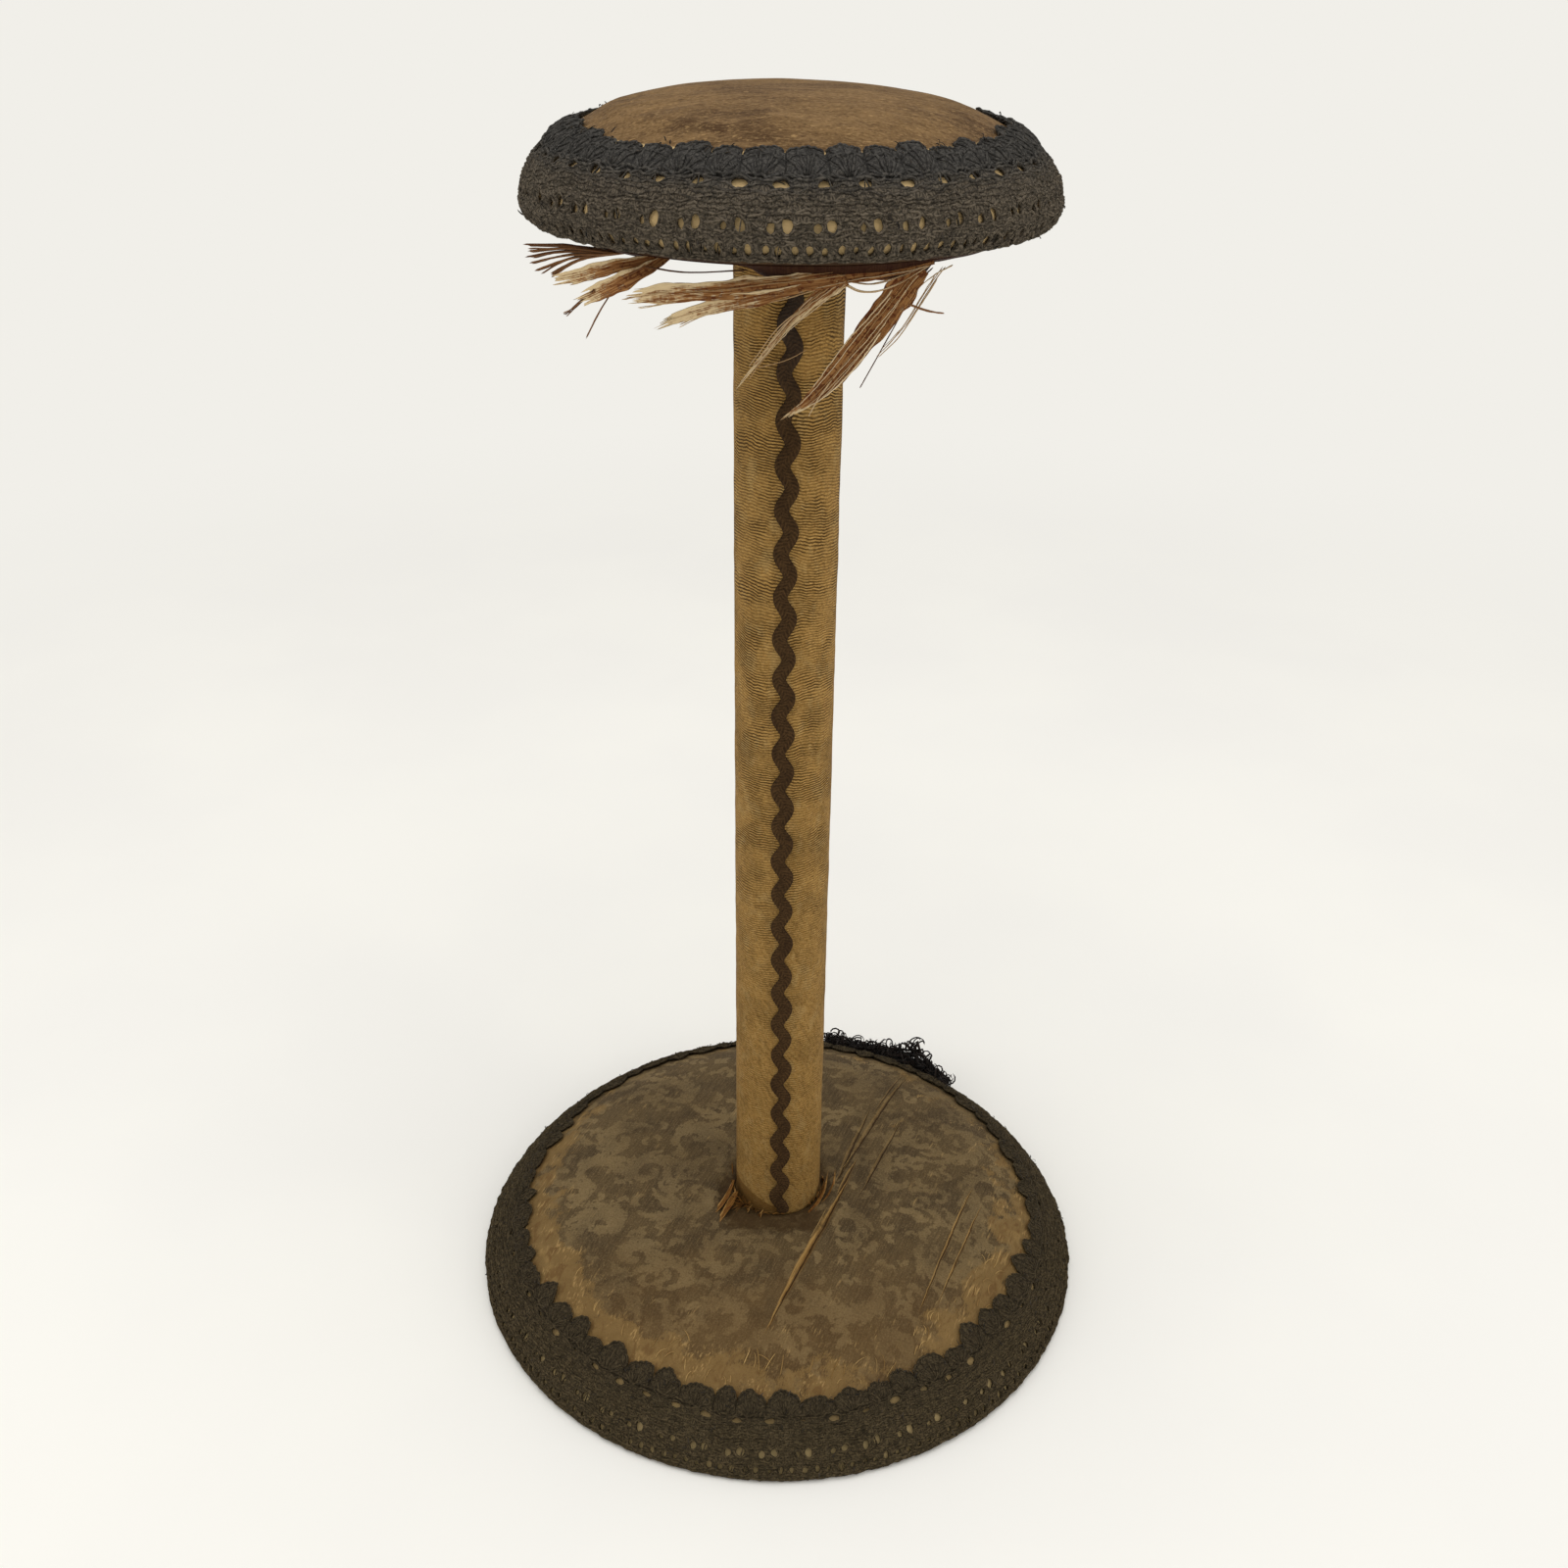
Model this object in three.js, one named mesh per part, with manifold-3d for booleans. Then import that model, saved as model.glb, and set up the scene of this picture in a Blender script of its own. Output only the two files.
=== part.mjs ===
// An antique milliner's hat stand: a wide covered foot, a covered post and a small stuffed pad,
// both rounds edged with scalloped openwork crochet braid, a ric-rac braid down the post's seam,
// and a torn lining that hangs in shreds under the pad. Nothing on it moves.
// Millimetres, +Z up, the origin on the floor at the middle of the foot, the front towards -Y.
import * as THREE from "three";
import { mergeVertices } from "three/addons/utils/BufferGeometryUtils.js";
import Module from "manifold-3d";

const wasm = await Module();
wasm.setup();

// Overall size and fits
const standHeight = 336;
const gap = 0.3; // between two pieces that touch
const overrun = 1.5; // how far a cutting body runs past the face it cuts
const roundSegments = 30; // sides of the foot's and the pad's turned pieces

// The foot: a turned disc under a silk cover, its edge a squared-off curve
const foot = {
  radius: 90.7, // the silk at its widest line
  top: 22, // the silk at the post
  level: 0.7, // height of the widest line
  shoulderPower: 5.25, // how square the shoulder is
  fallPower: 1.16, // how straight the edge falls
  flat: 24, // radius of the level middle
  stationShares: [0.12, 0.28, 0.41, 0.53, 0.7, 1],
  silk: 0.6,
  hemHeight: 1.6,
  hemSlope: 6.7, // how far in the turned-under silk runs before it lies level
  hemWidth: 8,
  blockTop: 19.3, // the disc's flat top, under the wadding
  lining: 0.5,
  liningInset: 5.7, // from the widest line in to the paper's edge
  socketDepth: 12,
  tackInset: 10.7, // from the widest line in to the ring of tacks
};

// The post: a wooden rod in a tube of ribbed silk
const post = {
  radius: 13, // outside the silk
  silk: 0.5,
  segments: 24,
  fit: 0.4, // round the post in the covers' holes
};

// The pad: a turned board with a dome of wadding, under a silk cover tucked round its edge
const pad = {
  radius: 58.55,
  crown: 22.85, // from the widest line to the top
  shoulderPower: 2.2,
  fallPower: 2.1,
  flat: 8, // radius of the level crown, where a hat rests
  stationShares: [0.2, 0.42, 0.595, 0.737, 0.9, 1],
  tuckWidth: 9.65,
  tuckDepth: 5.5,
  tuckShares: [0.39, 1],
  silk: 0.6,
  hemWidth: 7,
  boardAbove: 1.4, // the board's top, above the widest line
  socketDepth: 3,
  tackInset: 14.55, // from the widest line in to the ring of tacks
  lining: 0.5,
  liningInset: 8.05, // from the widest line in to the lining's seam
  liningRise: 3.5, // the width over which it rises to its seam
};

// The crochet braid, measured up the cloth from its straight edge
const crochet = {
  thickness: 1.2,
  width: 21.5, // to the dips between the scallops
  scallopRise: 1.9,
  picotHeight: 6.6,
  picotSize: 1.9,
  eyeletHeight: 14.6,
  eyeletLength: 3.8,
  eyeletOpening: 1.4,
  eyeletTip: 0.5,
  shoulderShare: 0.27, // where a scallop's round top begins, of its width
};
const footScallops = 58;
const padScallops = 42;

// The ric-rac braid over the post's seam
const ricrac = { width: 4.3, thickness: 1, swing: 1.25, wave: 10.8, startShare: 1 / 12, stepsPerWave: 6 };

// Screws and tacks
const screw = {
  head: 4.2,
  headDepth: 2.4,
  radius: 1.9,
  tip: 0.5,
  tipLength: 3.5,
  length: 27,
  slotWidth: 0.9,
  slotDepth: 0.9,
  sides: 12,
};
const tack = { head: 2.6, headDepth: 0.7, radius: 0.9, length: 7, count: 6, sides: 6 };

// The loose end of the foot's braid, standing on the rim at the back on the right
const looseEnd = {
  start: 48, // degrees from +X
  end: 79,
  inset: 6.2, // from the foot's widest line in to its seat
  thickness: 2.4,
  height: 8.5,
  lean: 3, // how far its top leans out
  heightShares: [
    0.3, 0.72, 0.45, 0.8, 0.5, 0.95, 0.7,
    1, 0.62, 0.85, 0.55, 0.75, 0.4, 0.68,
    0.42, 0.6, 0.3, 0.5, 0.24, 0.34, 0.2,
  ],
};

// The torn lining: where its front is gone, how far it sags there, and how far the shreds reach
const tear = {
  start: -126, // degrees from +X
  end: -52,
  frontWidth: 4.9, // of what is left at the front, in from the seam
  sag: 3.4,
  ragged: 1.6,
  steps: 40,
  shredDrop: 35,
  shredThickness: 0.5,
  widths: { broad: 4.6, narrow: 2.6, fine: 1.5, thread: 0.7 },
  // where each of the tuft's threads ends: across, of the seam's radius, and down, of the drop
  tuftEndShares: [
    [-1.078, 0.03],
    [-1.09, 0.06],
    [-1.067, 0.1],
    [-1.043, 0.15],
    [-0.985, 0.19],
  ],
  tuftBendShare: 0.35, // how much of a thread's drop it has made half-way along
  tuftSpreadShare: 0.017, // from one thread's end to the next, backwards
};

const finishes = {
  wood: { color: 0xb08a5a, roughness: 0.75, metalness: 0 },
  figuredSilk: { color: 0x6a5847, roughness: 0.7, metalness: 0 },
  ribbedSilk: { color: 0x9a7440, roughness: 0.6, metalness: 0 },
  plainSilk: { color: 0x6b4a2d, roughness: 0.7, metalness: 0 },
  crochet: { color: 0x2b2723, roughness: 0.95, metalness: 0 },
  ricrac: { color: 0x35261c, roughness: 0.9, metalness: 0 },
  wadding: { color: 0xcfc3a6, roughness: 1, metalness: 0 },
  lining: { color: 0x8a6238, roughness: 0.7, metalness: 0 },
  paper: { color: 0x8f7a5c, roughness: 0.95, metalness: 0 },
  steel: { color: 0x77736c, roughness: 0.45, metalness: 1 },
  iron: { color: 0x3c3834, roughness: 0.6, metalness: 1 },
};

const stand = new THREE.Group();
const footGroup = new THREE.Group();
const postGroup = new THREE.Group();
const padGroup = new THREE.Group();
stand.add(footGroup, postGroup, padGroup);

function addPiece(group, name, geometry, finish) {
  const piece = new THREE.Mesh(geometry, new THREE.MeshStandardMaterial(finishes[finish]));
  piece.name = name;
  group.add(piece);
  return piece;
}

// Outlines are lists of [radius, height] from the crown outwards and down.

// From the level crown over the shoulder to the widest line, on a curve of two powers.
function domeOutline(cover, level, top, inner) {
  const curve = cover.stationShares.map((share) => {
    const angle = (share * Math.PI) / 2;
    return [
      cover.radius * Math.sin(angle) ** (2 / cover.shoulderPower),
      level + (top - level) * Math.cos(angle) ** (2 / cover.fallPower),
    ];
  });
  return [[inner, top], [cover.flat, top], ...curve];
}

// The outline moved inwards, each corner along its mitre. A negative distance moves it outwards.
function inset(outline, distance) {
  const normals = outline.slice(1).map(([r, z], i) => {
    const run = new THREE.Vector2(r - outline[i][0], z - outline[i][1]).normalize();
    return new THREE.Vector2(run.y, -run.x);
  });
  return outline.map(([r, z], i) => {
    const before = normals[Math.max(i - 1, 0)];
    const after = normals[Math.min(i, normals.length - 1)];
    const mitre = distance / (1 + before.dot(after));
    return [r + (before.x + after.x) * mitre, z + (before.y + after.y) * mitre];
  });
}

// The radius at which an outline comes down to a height.
function radiusAt(outline, height) {
  const i = outline.findIndex(([, z]) => z < height);
  const [r0, z0] = outline[i - 1];
  const [r1, z1] = outline[i];
  return r0 + ((r1 - r0) * (z0 - height)) / (z0 - z1);
}

// The height of an outline at a radius, on its way out over the shoulder or on its way back under.
function heightAt(outline, radius, under = false) {
  const i = outline.findIndex(([r]) => (under ? r < radius : r > radius));
  const [r0, z0] = outline[i - 1];
  const [r1, z1] = outline[i];
  return z0 + ((z1 - z0) * (radius - r0)) / (r1 - r0);
}

// The part of an outline from its crown down to a height.
function above(outline, height) {
  return [...outline.filter(([, z]) => z > height), [radiusAt(outline, height), height]];
}

// The part of an outline from one height down to another.
function between(outline, high, low) {
  return [[radiusAt(outline, high), high], ...above(outline, low).filter(([, z]) => z < high)];
}

// A solid of revolution round +Z, from a profile in either direction.
function revolve(profile, segments = roundSegments) {
  const closed = profile[0][0] > 0 ? [...profile, profile[0]] : profile;
  const area = closed.slice(1).reduce((sum, [r, z], i) => sum + closed[i][0] * z - r * closed[i][1], 0);
  const ordered = area < 0 ? closed.slice().reverse() : closed;
  const points = ordered.map(([r, z]) => new THREE.Vector2(r, z));
  return new THREE.LatheGeometry(points, segments).rotateX(Math.PI / 2);
}

// A cloth cover between its outside and the same outline inset by its thickness.
function coverProfile(outline, thickness) {
  return [...outline, ...inset(outline, thickness).reverse()];
}

function toSolid(geometry) {
  const bare = geometry.clone();
  bare.deleteAttribute("normal");
  bare.deleteAttribute("uv");
  const merged = mergeVertices(bare);
  return new wasm.Manifold(
    new wasm.Mesh({
      numProp: 3,
      vertProperties: new Float32Array(merged.getAttribute("position").array),
      triVerts: new Uint32Array(merged.index.array),
    }),
  );
}

function toGeometry(solid) {
  const { vertProperties, triVerts } = solid.getMesh();
  const geometry = new THREE.BufferGeometry();
  geometry.setAttribute("position", new THREE.BufferAttribute(vertProperties, 3));
  geometry.setIndex(new THREE.BufferAttribute(triVerts, 1));
  geometry.computeVertexNormals();
  return geometry;
}

// Cuts one hole for each tack of a ring out of a piece. The holes run up from a height.
function drillForTacks(geometry, circle, from, depth) {
  const radius = tack.radius + gap;
  let solid = toSolid(geometry);
  for (let i = 0; i < tack.count; i += 1) {
    const hole = new THREE.CylinderGeometry(radius, radius, depth, tack.sides).rotateX(Math.PI / 2);
    const angle = ((i + 0.5) / tack.count) * 2 * Math.PI;
    hole.translate(circle * Math.cos(angle), circle * Math.sin(angle), from + depth / 2);
    solid = solid.subtract(toSolid(hole));
  }
  return toGeometry(solid);
}

// A cut tack, head down and point up, with the underside of the cloth at z = 0.
function tackGeometry() {
  const profile = [
    [0, -tack.headDepth],
    [tack.head, 0],
    [tack.radius, 0],
    [0, tack.length],
  ];
  return revolve(profile, tack.sides);
}

function addTacks(group, prefix, circle, height) {
  for (let i = 0; i < tack.count; i += 1) {
    const piece = addPiece(group, `${prefix}_${i + 1}`, tackGeometry(), "iron");
    const angle = ((i + 0.5) / tack.count) * 2 * Math.PI;
    piece.position.set(circle * Math.cos(angle), circle * Math.sin(angle), height);
  }
}

// A flat-head wood screw, head down and slotted, its point up.
function screwGeometry() {
  const profile = [
    [0, 0],
    [screw.head, 0],
    [screw.radius, screw.headDepth],
    [screw.radius, screw.length - screw.tipLength],
    [screw.tip, screw.length],
    [0, screw.length],
  ];
  const slot = new THREE.BoxGeometry(2 * (screw.head + overrun), screw.slotWidth, 2 * screw.slotDepth);
  return toGeometry(toSolid(revolve(profile, screw.sides)).subtract(toSolid(slot)));
}

// The hole for a screw through a disc, as a profile from its countersink up to a height.
function screwHole(start, end) {
  return [
    [screw.head + gap, start],
    [screw.radius + gap, start + (end > start ? 1 : -1) * (screw.headDepth + gap)],
    [screw.radius + gap, end],
  ];
}

// A geometry from its corners and triangles, with the faces turned outwards.
function facingOut(positions, indices) {
  const corner = (i) => new THREE.Vector3().fromArray(positions, 3 * indices[i]);
  let volume = 0;
  for (let i = 0; i < indices.length; i += 3) {
    volume += corner(i).dot(corner(i + 1).cross(corner(i + 2)));
  }
  const geometry = new THREE.BufferGeometry();
  geometry.setAttribute("position", new THREE.Float32BufferAttribute(positions, 3));
  geometry.setIndex(volume < 0 ? indices.slice().reverse() : indices);
  geometry.computeVertexNormals();
  return geometry;
}

// Joins rings of points into one closed solid: each ring is a list of the same number of corners.
function loft(rings, looped = false) {
  const count = rings[0].length;
  const positions = rings.flat().flatMap((p) => [p.x, p.y, p.z]);
  const indices = [];
  const spans = looped ? rings.length : rings.length - 1;
  for (let i = 0; i < spans; i += 1) {
    const here = i * count;
    const next = ((i + 1) % rings.length) * count;
    for (let j = 0; j < count; j += 1) {
      const k = (j + 1) % count;
      indices.push(here + j, here + k, next + k, here + j, next + k, next + j);
    }
  }
  if (!looped) {
    const last = (rings.length - 1) * count;
    for (let j = 1; j < count - 1; j += 1) {
      indices.push(0, j + 1, j);
      indices.push(last, last + j, last + j + 1);
    }
  }
  return facingOut(positions, indices);
}

// The scalloped openwork braid, laid round a cover from the outline's last point, where its
// straight edge is, up towards the crown. Under each dip between two scallops is a long eyelet,
// and in the middle of each scallop's foot a small square picot hole. Where the edge is tucked
// under, a row of its own follows the turn.
function braidGeometry(outline, scallops, tucked) {
  const route = outline.slice().reverse();
  const reach = route.slice(1).reduce(
    (sums, [r, z], i) => [...sums, sums[i] + Math.hypot(r - route[i][0], z - route[i][1])],
    [0],
  );
  const faces = [gap, gap + crochet.thickness].map((out) => inset(outline, -out).reverse());
  const seatAt = (face, height) => {
    const i = Math.min(reach.findLastIndex((s) => s <= height), reach.length - 2);
    const share = (height - reach[i]) / (reach[i + 1] - reach[i]);
    const [low, high] = [faces[face][i], faces[face][i + 1]];
    return [low[0] + (high[0] - low[0]) * share, low[1] + (high[1] - low[1]) * share];
  };

  const pitch = 1 / scallops;
  const straight = [0, crochet.shoulderShare, 1 - crochet.shoulderShare];
  const widthShareAt = (height, length) => {
    const [radius] = seatAt(1, height);
    return length / (2 * Math.PI * radius * pitch);
  };
  const picotHalf = widthShareAt(crochet.picotHeight, crochet.picotSize) / 2;
  const eyeletHalf = widthShareAt(crochet.eyeletHeight, crochet.eyeletLength) / 2;
  const picotColumns = [0, 0.5 - picotHalf, 0.5 + picotHalf];
  const eyeletColumns = [0, eyeletHalf, 1 - eyeletHalf];
  const { picotHeight, picotSize, eyeletHeight, eyeletOpening, eyeletTip, width, scallopRise } = crochet;
  const level = (height) => [height, height, height];
  const eyeletEdge = (side) => {
    const tip = eyeletHeight + (side * eyeletTip) / 2;
    return [eyeletHeight + (side * eyeletOpening) / 2, tip, tip];
  };
  const turn = tucked ? [{ columns: straight, heights: level(reach[1]) }] : [];
  const rows = [
    { columns: straight, heights: level(0) },
    ...turn,
    { columns: picotColumns, heights: level(picotHeight - picotSize / 2) },
    { columns: picotColumns, heights: level(picotHeight + picotSize / 2), hole: "picot" },
    { columns: eyeletColumns, heights: eyeletEdge(-1) },
    { columns: eyeletColumns, heights: eyeletEdge(1), hole: "eyelet" },
    { columns: straight, heights: [width, width + scallopRise, width + scallopRise] },
  ];

  const columns = straight.length * scallops;
  const positions = [];
  for (const row of rows) {
    for (let c = 0; c < columns; c += 1) {
      const kind = c % straight.length;
      const angle = (Math.floor(c / straight.length) + row.columns[kind]) * pitch * 2 * Math.PI;
      for (const face of [0, 1]) {
        const [radius, height] = seatAt(face, row.heights[kind]);
        positions.push(radius * Math.cos(angle), radius * Math.sin(angle), height);
      }
    }
  }
  const corner = (row, column, face) => 2 * (row * columns + (column % columns)) + face;
  // A cell is the square between two rows and two columns. A hole takes one or two away.
  const solidCell = (row, column) => {
    if (row < 0 || row >= rows.length - 1) return false;
    const kind = ((column % columns) + columns) % straight.length;
    if (rows[row + 1].hole === "picot") return kind !== 1;
    if (rows[row + 1].hole === "eyelet") return kind === 1;
    return true;
  };
  const indices = [];
  const quad = (a, b, c, d) => indices.push(a, b, c, a, c, d);
  // A wall between the two faces, along one side of a cell
  const wall = (from, to) =>
    quad(corner(...from, 0), corner(...to, 0), corner(...to, 1), corner(...from, 1));
  for (let row = 0; row < rows.length - 1; row += 1) {
    for (let c = 0; c < columns; c += 1) {
      if (!solidCell(row, c)) continue;
      const [a, b] = [c, c + 1];
      quad(corner(row, a, 1), corner(row, b, 1), corner(row + 1, b, 1), corner(row + 1, a, 1));
      quad(corner(row, b, 0), corner(row, a, 0), corner(row + 1, a, 0), corner(row + 1, b, 0));
      if (!solidCell(row - 1, c)) wall([row, a], [row, b]);
      if (!solidCell(row + 1, c)) wall([row + 1, b], [row + 1, a]);
      if (!solidCell(row, c - 1)) wall([row + 1, a], [row, a]);
      if (!solidCell(row, c + 1)) wall([row, b], [row + 1, b]);
    }
  }
  return facingOut(positions, indices);
}

// The foot
const holeRadius = post.radius + post.fit;
const footDome = domeOutline(foot, foot.level, foot.top, holeRadius);
const footHemInner = foot.radius - foot.hemSlope - foot.hemWidth;
const footCover = [
  ...footDome,
  [foot.radius - foot.hemSlope, foot.hemHeight],
  [footHemInner, foot.hemHeight],
];
const blockBottom = foot.hemHeight + foot.silk + gap;
const underFootSilk = inset(footDome, foot.silk + gap);
const dowelRadius = post.radius - post.silk - gap;
const socketRadius = dowelRadius + gap;
const footSocketFloor = foot.blockTop - foot.socketDepth;

const blockProfile = [
  ...screwHole(blockBottom, footSocketFloor),
  [socketRadius, footSocketFloor],
  [socketRadius, foot.blockTop],
  ...between(underFootSilk, foot.blockTop, blockBottom),
];
const footTackCircle = foot.radius - foot.tackInset;
const tackHoleDepth = tack.length + overrun;
const block = drillForTacks(revolve(blockProfile), footTackCircle, blockBottom - overrun, tackHoleDepth);
addPiece(footGroup, "base_block", block, "wood");

const waddingBottom = foot.blockTop + gap;
const waddingProfile = [[holeRadius, waddingBottom], ...above(underFootSilk, waddingBottom)];
addPiece(footGroup, "base_wadding", revolve(waddingProfile), "wadding");
const footSilk = revolve(coverProfile(footCover, foot.silk));
const footHemDepth = foot.silk + 2 * overrun;
addPiece(
  footGroup,
  "base_silk",
  drillForTacks(footSilk, footTackCircle, foot.hemHeight - overrun, footHemDepth),
  "figuredSilk",
);
const paperRadius = foot.radius - foot.liningInset;
const paperProfile = [
  [0, 0],
  [paperRadius, 0],
  [paperRadius, foot.lining],
  [0, foot.lining],
];
addPiece(footGroup, "base_lining", revolve(paperProfile), "paper");
addTacks(footGroup, "base_tack", footTackCircle, foot.hemHeight - gap);
addPiece(footGroup, "base_screw", screwGeometry(), "steel").position.z = blockBottom + gap;
addPiece(footGroup, "base_braid", braidGeometry(footDome, footScallops, false), "crochet");

// The loose end of the foot's braid: a ragged strip that stands on the rim and leans out
function looseEndGeometry() {
  const seat = inset(footDome, -gap - crochet.thickness - gap);
  const seatRadius = foot.radius - looseEnd.inset;
  const shares = looseEnd.heightShares;
  const rings = shares.map((share, i) => {
    const turn = looseEnd.start + ((looseEnd.end - looseEnd.start) * i) / (shares.length - 1);
    const angle = THREE.MathUtils.degToRad(turn);
    const at = (radius, height) =>
      new THREE.Vector3(radius * Math.cos(angle), radius * Math.sin(angle), height);
    const inner = seatRadius - looseEnd.thickness / 2;
    const outer = seatRadius + looseEnd.thickness / 2;
    const top = heightAt(seat, seatRadius) + looseEnd.height * share;
    const lean = looseEnd.lean * share;
    return [
      at(inner, heightAt(seat, inner)),
      at(outer, heightAt(seat, outer)),
      at(outer + lean, top),
      at(inner + lean, top),
    ];
  });
  return loft(rings);
}
addPiece(footGroup, "base_braid_tail", looseEndGeometry(), "crochet");

// The pad, drawn about its widest line
const padLevel = standHeight - pad.crown;
padGroup.position.z = padLevel;
const padDome = domeOutline(pad, 0, pad.crown, 0);
const padTuck = pad.tuckShares.map((share) => {
  const angle = (share * Math.PI) / 2;
  return [pad.radius - pad.tuckWidth * (1 - Math.cos(angle)), -pad.tuckDepth * Math.sin(angle)];
});
const padHemInner = pad.radius - pad.tuckWidth - pad.hemWidth;
const padCover = [...padDome, ...padTuck, [padHemInner, -pad.tuckDepth]];
const underPadSilk = inset(padCover, pad.silk + gap);
const boardBottom = -pad.tuckDepth + pad.silk + gap;
const boardSocketFloor = boardBottom + pad.socketDepth;

const padTackCircle = pad.radius - pad.tackInset;
const boardProfile = [
  ...screwHole(pad.boardAbove, boardSocketFloor),
  [socketRadius, boardSocketFloor],
  [socketRadius, boardBottom],
  ...underPadSilk.slice(padDome.length - 1, -1).reverse(),
  [radiusAt(underPadSilk, pad.boardAbove), pad.boardAbove],
];
const board = drillForTacks(revolve(boardProfile), padTackCircle, boardBottom - overrun, tackHoleDepth);
addPiece(padGroup, "pad_board", board, "wood");
const stuffingBottom = pad.boardAbove + gap;
const stuffingProfile = [[0, stuffingBottom], ...above(underPadSilk, stuffingBottom).reverse()];
addPiece(padGroup, "pad_stuffing", revolve(stuffingProfile), "wadding");
const padSilk = revolve(coverProfile(padCover, pad.silk));
const padHemDepth = pad.silk + 2 * overrun;
addPiece(
  padGroup,
  "pad_silk",
  drillForTacks(padSilk, padTackCircle, -pad.tuckDepth - overrun, padHemDepth),
  "plainSilk",
);
addTacks(padGroup, "pad_tack", padTackCircle, -pad.tuckDepth - gap);
const padScrew = addPiece(padGroup, "pad_screw", screwGeometry(), "steel");
padScrew.rotation.x = Math.PI;
padScrew.position.z = pad.boardAbove - gap;
addPiece(padGroup, "pad_braid", braidGeometry([...padDome, padTuck[0]], padScallops, true), "crochet");

// The post, from the socket in the foot up to the socket in the pad's board
const postBottom = footSocketFloor + gap;
const dowelLength = padLevel + boardSocketFloor - gap - postBottom;
postGroup.position.z = postBottom;
const pilotRadius = screw.radius + gap;
const footPilot = blockBottom + gap + screw.length + gap - postBottom;
const headPilot = postBottom + dowelLength - (padLevel + pad.boardAbove - gap - screw.length - gap);
const dowelProfile = [
  [0, footPilot],
  [pilotRadius, footPilot],
  [pilotRadius, 0],
  [dowelRadius, 0],
  [dowelRadius, dowelLength],
  [pilotRadius, dowelLength],
  [pilotRadius, dowelLength - headPilot],
  [0, dowelLength - headPilot],
];
addPiece(postGroup, "post_dowel", revolve(dowelProfile, post.segments), "wood");

const postSilkBottom = foot.blockTop + gap - postBottom;
const postSilkTop = padLevel + boardBottom - gap - postBottom;
const postSilkInner = post.radius - post.silk;
const postSilkProfile = [
  [postSilkInner, postSilkBottom],
  [post.radius, postSilkBottom],
  [post.radius, postSilkTop],
  [postSilkInner, postSilkTop],
];
addPiece(postGroup, "post_silk", revolve(postSilkProfile, post.segments), "ribbedSilk");

// The ric-rac: a flat braid that swings to and fro up the front, bent round the post.
function ricracGeometry(bottom, top) {
  const steps = Math.round(((top - bottom) / ricrac.wave) * ricrac.stepsPerWave);
  const inner = post.radius + gap;
  const rings = Array.from({ length: steps + 1 }, (_, i) => {
    const height = bottom + ((top - bottom) * i) / steps;
    const phase = 2 * Math.PI * ((height - bottom) / ricrac.wave + ricrac.startShare);
    const slope = (ricrac.swing * 2 * Math.PI * Math.cos(phase)) / ricrac.wave;
    const along = new THREE.Vector2(slope, 1).normalize();
    const middle = new THREE.Vector2(ricrac.swing * Math.sin(phase), height);
    const ends = i === 0 || i === steps ? new THREE.Vector2(0, 1) : along;
    const edge = (side, out) => {
      const across = middle.x + (side * ricrac.width * ends.y) / 2;
      const z = middle.y - (side * ricrac.width * ends.x) / 2;
      const angle = across / inner;
      return new THREE.Vector3((inner + out) * Math.sin(angle), -(inner + out) * Math.cos(angle), z);
    };
    return [edge(-1, 0), edge(-1, ricrac.thickness), edge(1, ricrac.thickness), edge(1, 0)];
  });
  return loft(rings);
}
const liningTop = -pad.tuckDepth - gap - tack.headDepth - gap;
const ricracBottom = foot.top + gap - postBottom;
const ricracTop = padLevel + liningTop - pad.lining - gap - postBottom;
addPiece(postGroup, "post_ricrac", ricracGeometry(ricracBottom, ricracTop), "ricrac");

// The lining's top along one radius: level, then up to its seam on the tucked silk, and sagging
// from the seam by a drop at its inner edge.
const liningSeam = inset(padCover, -gap).slice(padDome.length - 1);
const seamRadius = pad.radius - pad.liningInset;
function liningOutline(inner, drop) {
  const seamHeight = heightAt(liningSeam, seamRadius, true);
  const radii = [inner, Math.max(seamRadius - pad.liningRise, (inner + seamRadius) / 2), seamRadius];
  return radii.map((radius, i) => {
    const rise = Math.max(0, 1 - (seamRadius - radius) / pad.liningRise);
    const hang = (drop * (radii.length - 1 - i)) / (radii.length - 1);
    return [radius, liningTop + (seamHeight - liningTop) * rise - hang];
  });
}

// The lining: a thin disc round the post. Its front is torn away to a ragged, sagging edge.
function liningGeometry() {
  const rings = Array.from({ length: tear.steps }, (_, i) => {
    const turn = (360 * i) / tear.steps - 180;
    const angle = THREE.MathUtils.degToRad(turn);
    const torn = turn > tear.start && turn < tear.end;
    const notch = i % 2 ? tear.ragged : 0;
    const outline = torn
      ? liningOutline(seamRadius - tear.frontWidth + notch, tear.sag - notch)
      : liningOutline(holeRadius, 0);
    const at = ([radius, height], down) =>
      new THREE.Vector3(radius * Math.cos(angle), radius * Math.sin(angle), height - down);
    const below = outline.map((point) => at(point, pad.lining));
    return [...below, ...outline.reverse().map((point) => at(point, 0))];
  });
  return loft(rings, true);
}
const lining = addPiece(padGroup, "pad_lining", liningGeometry(), "lining");

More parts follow.
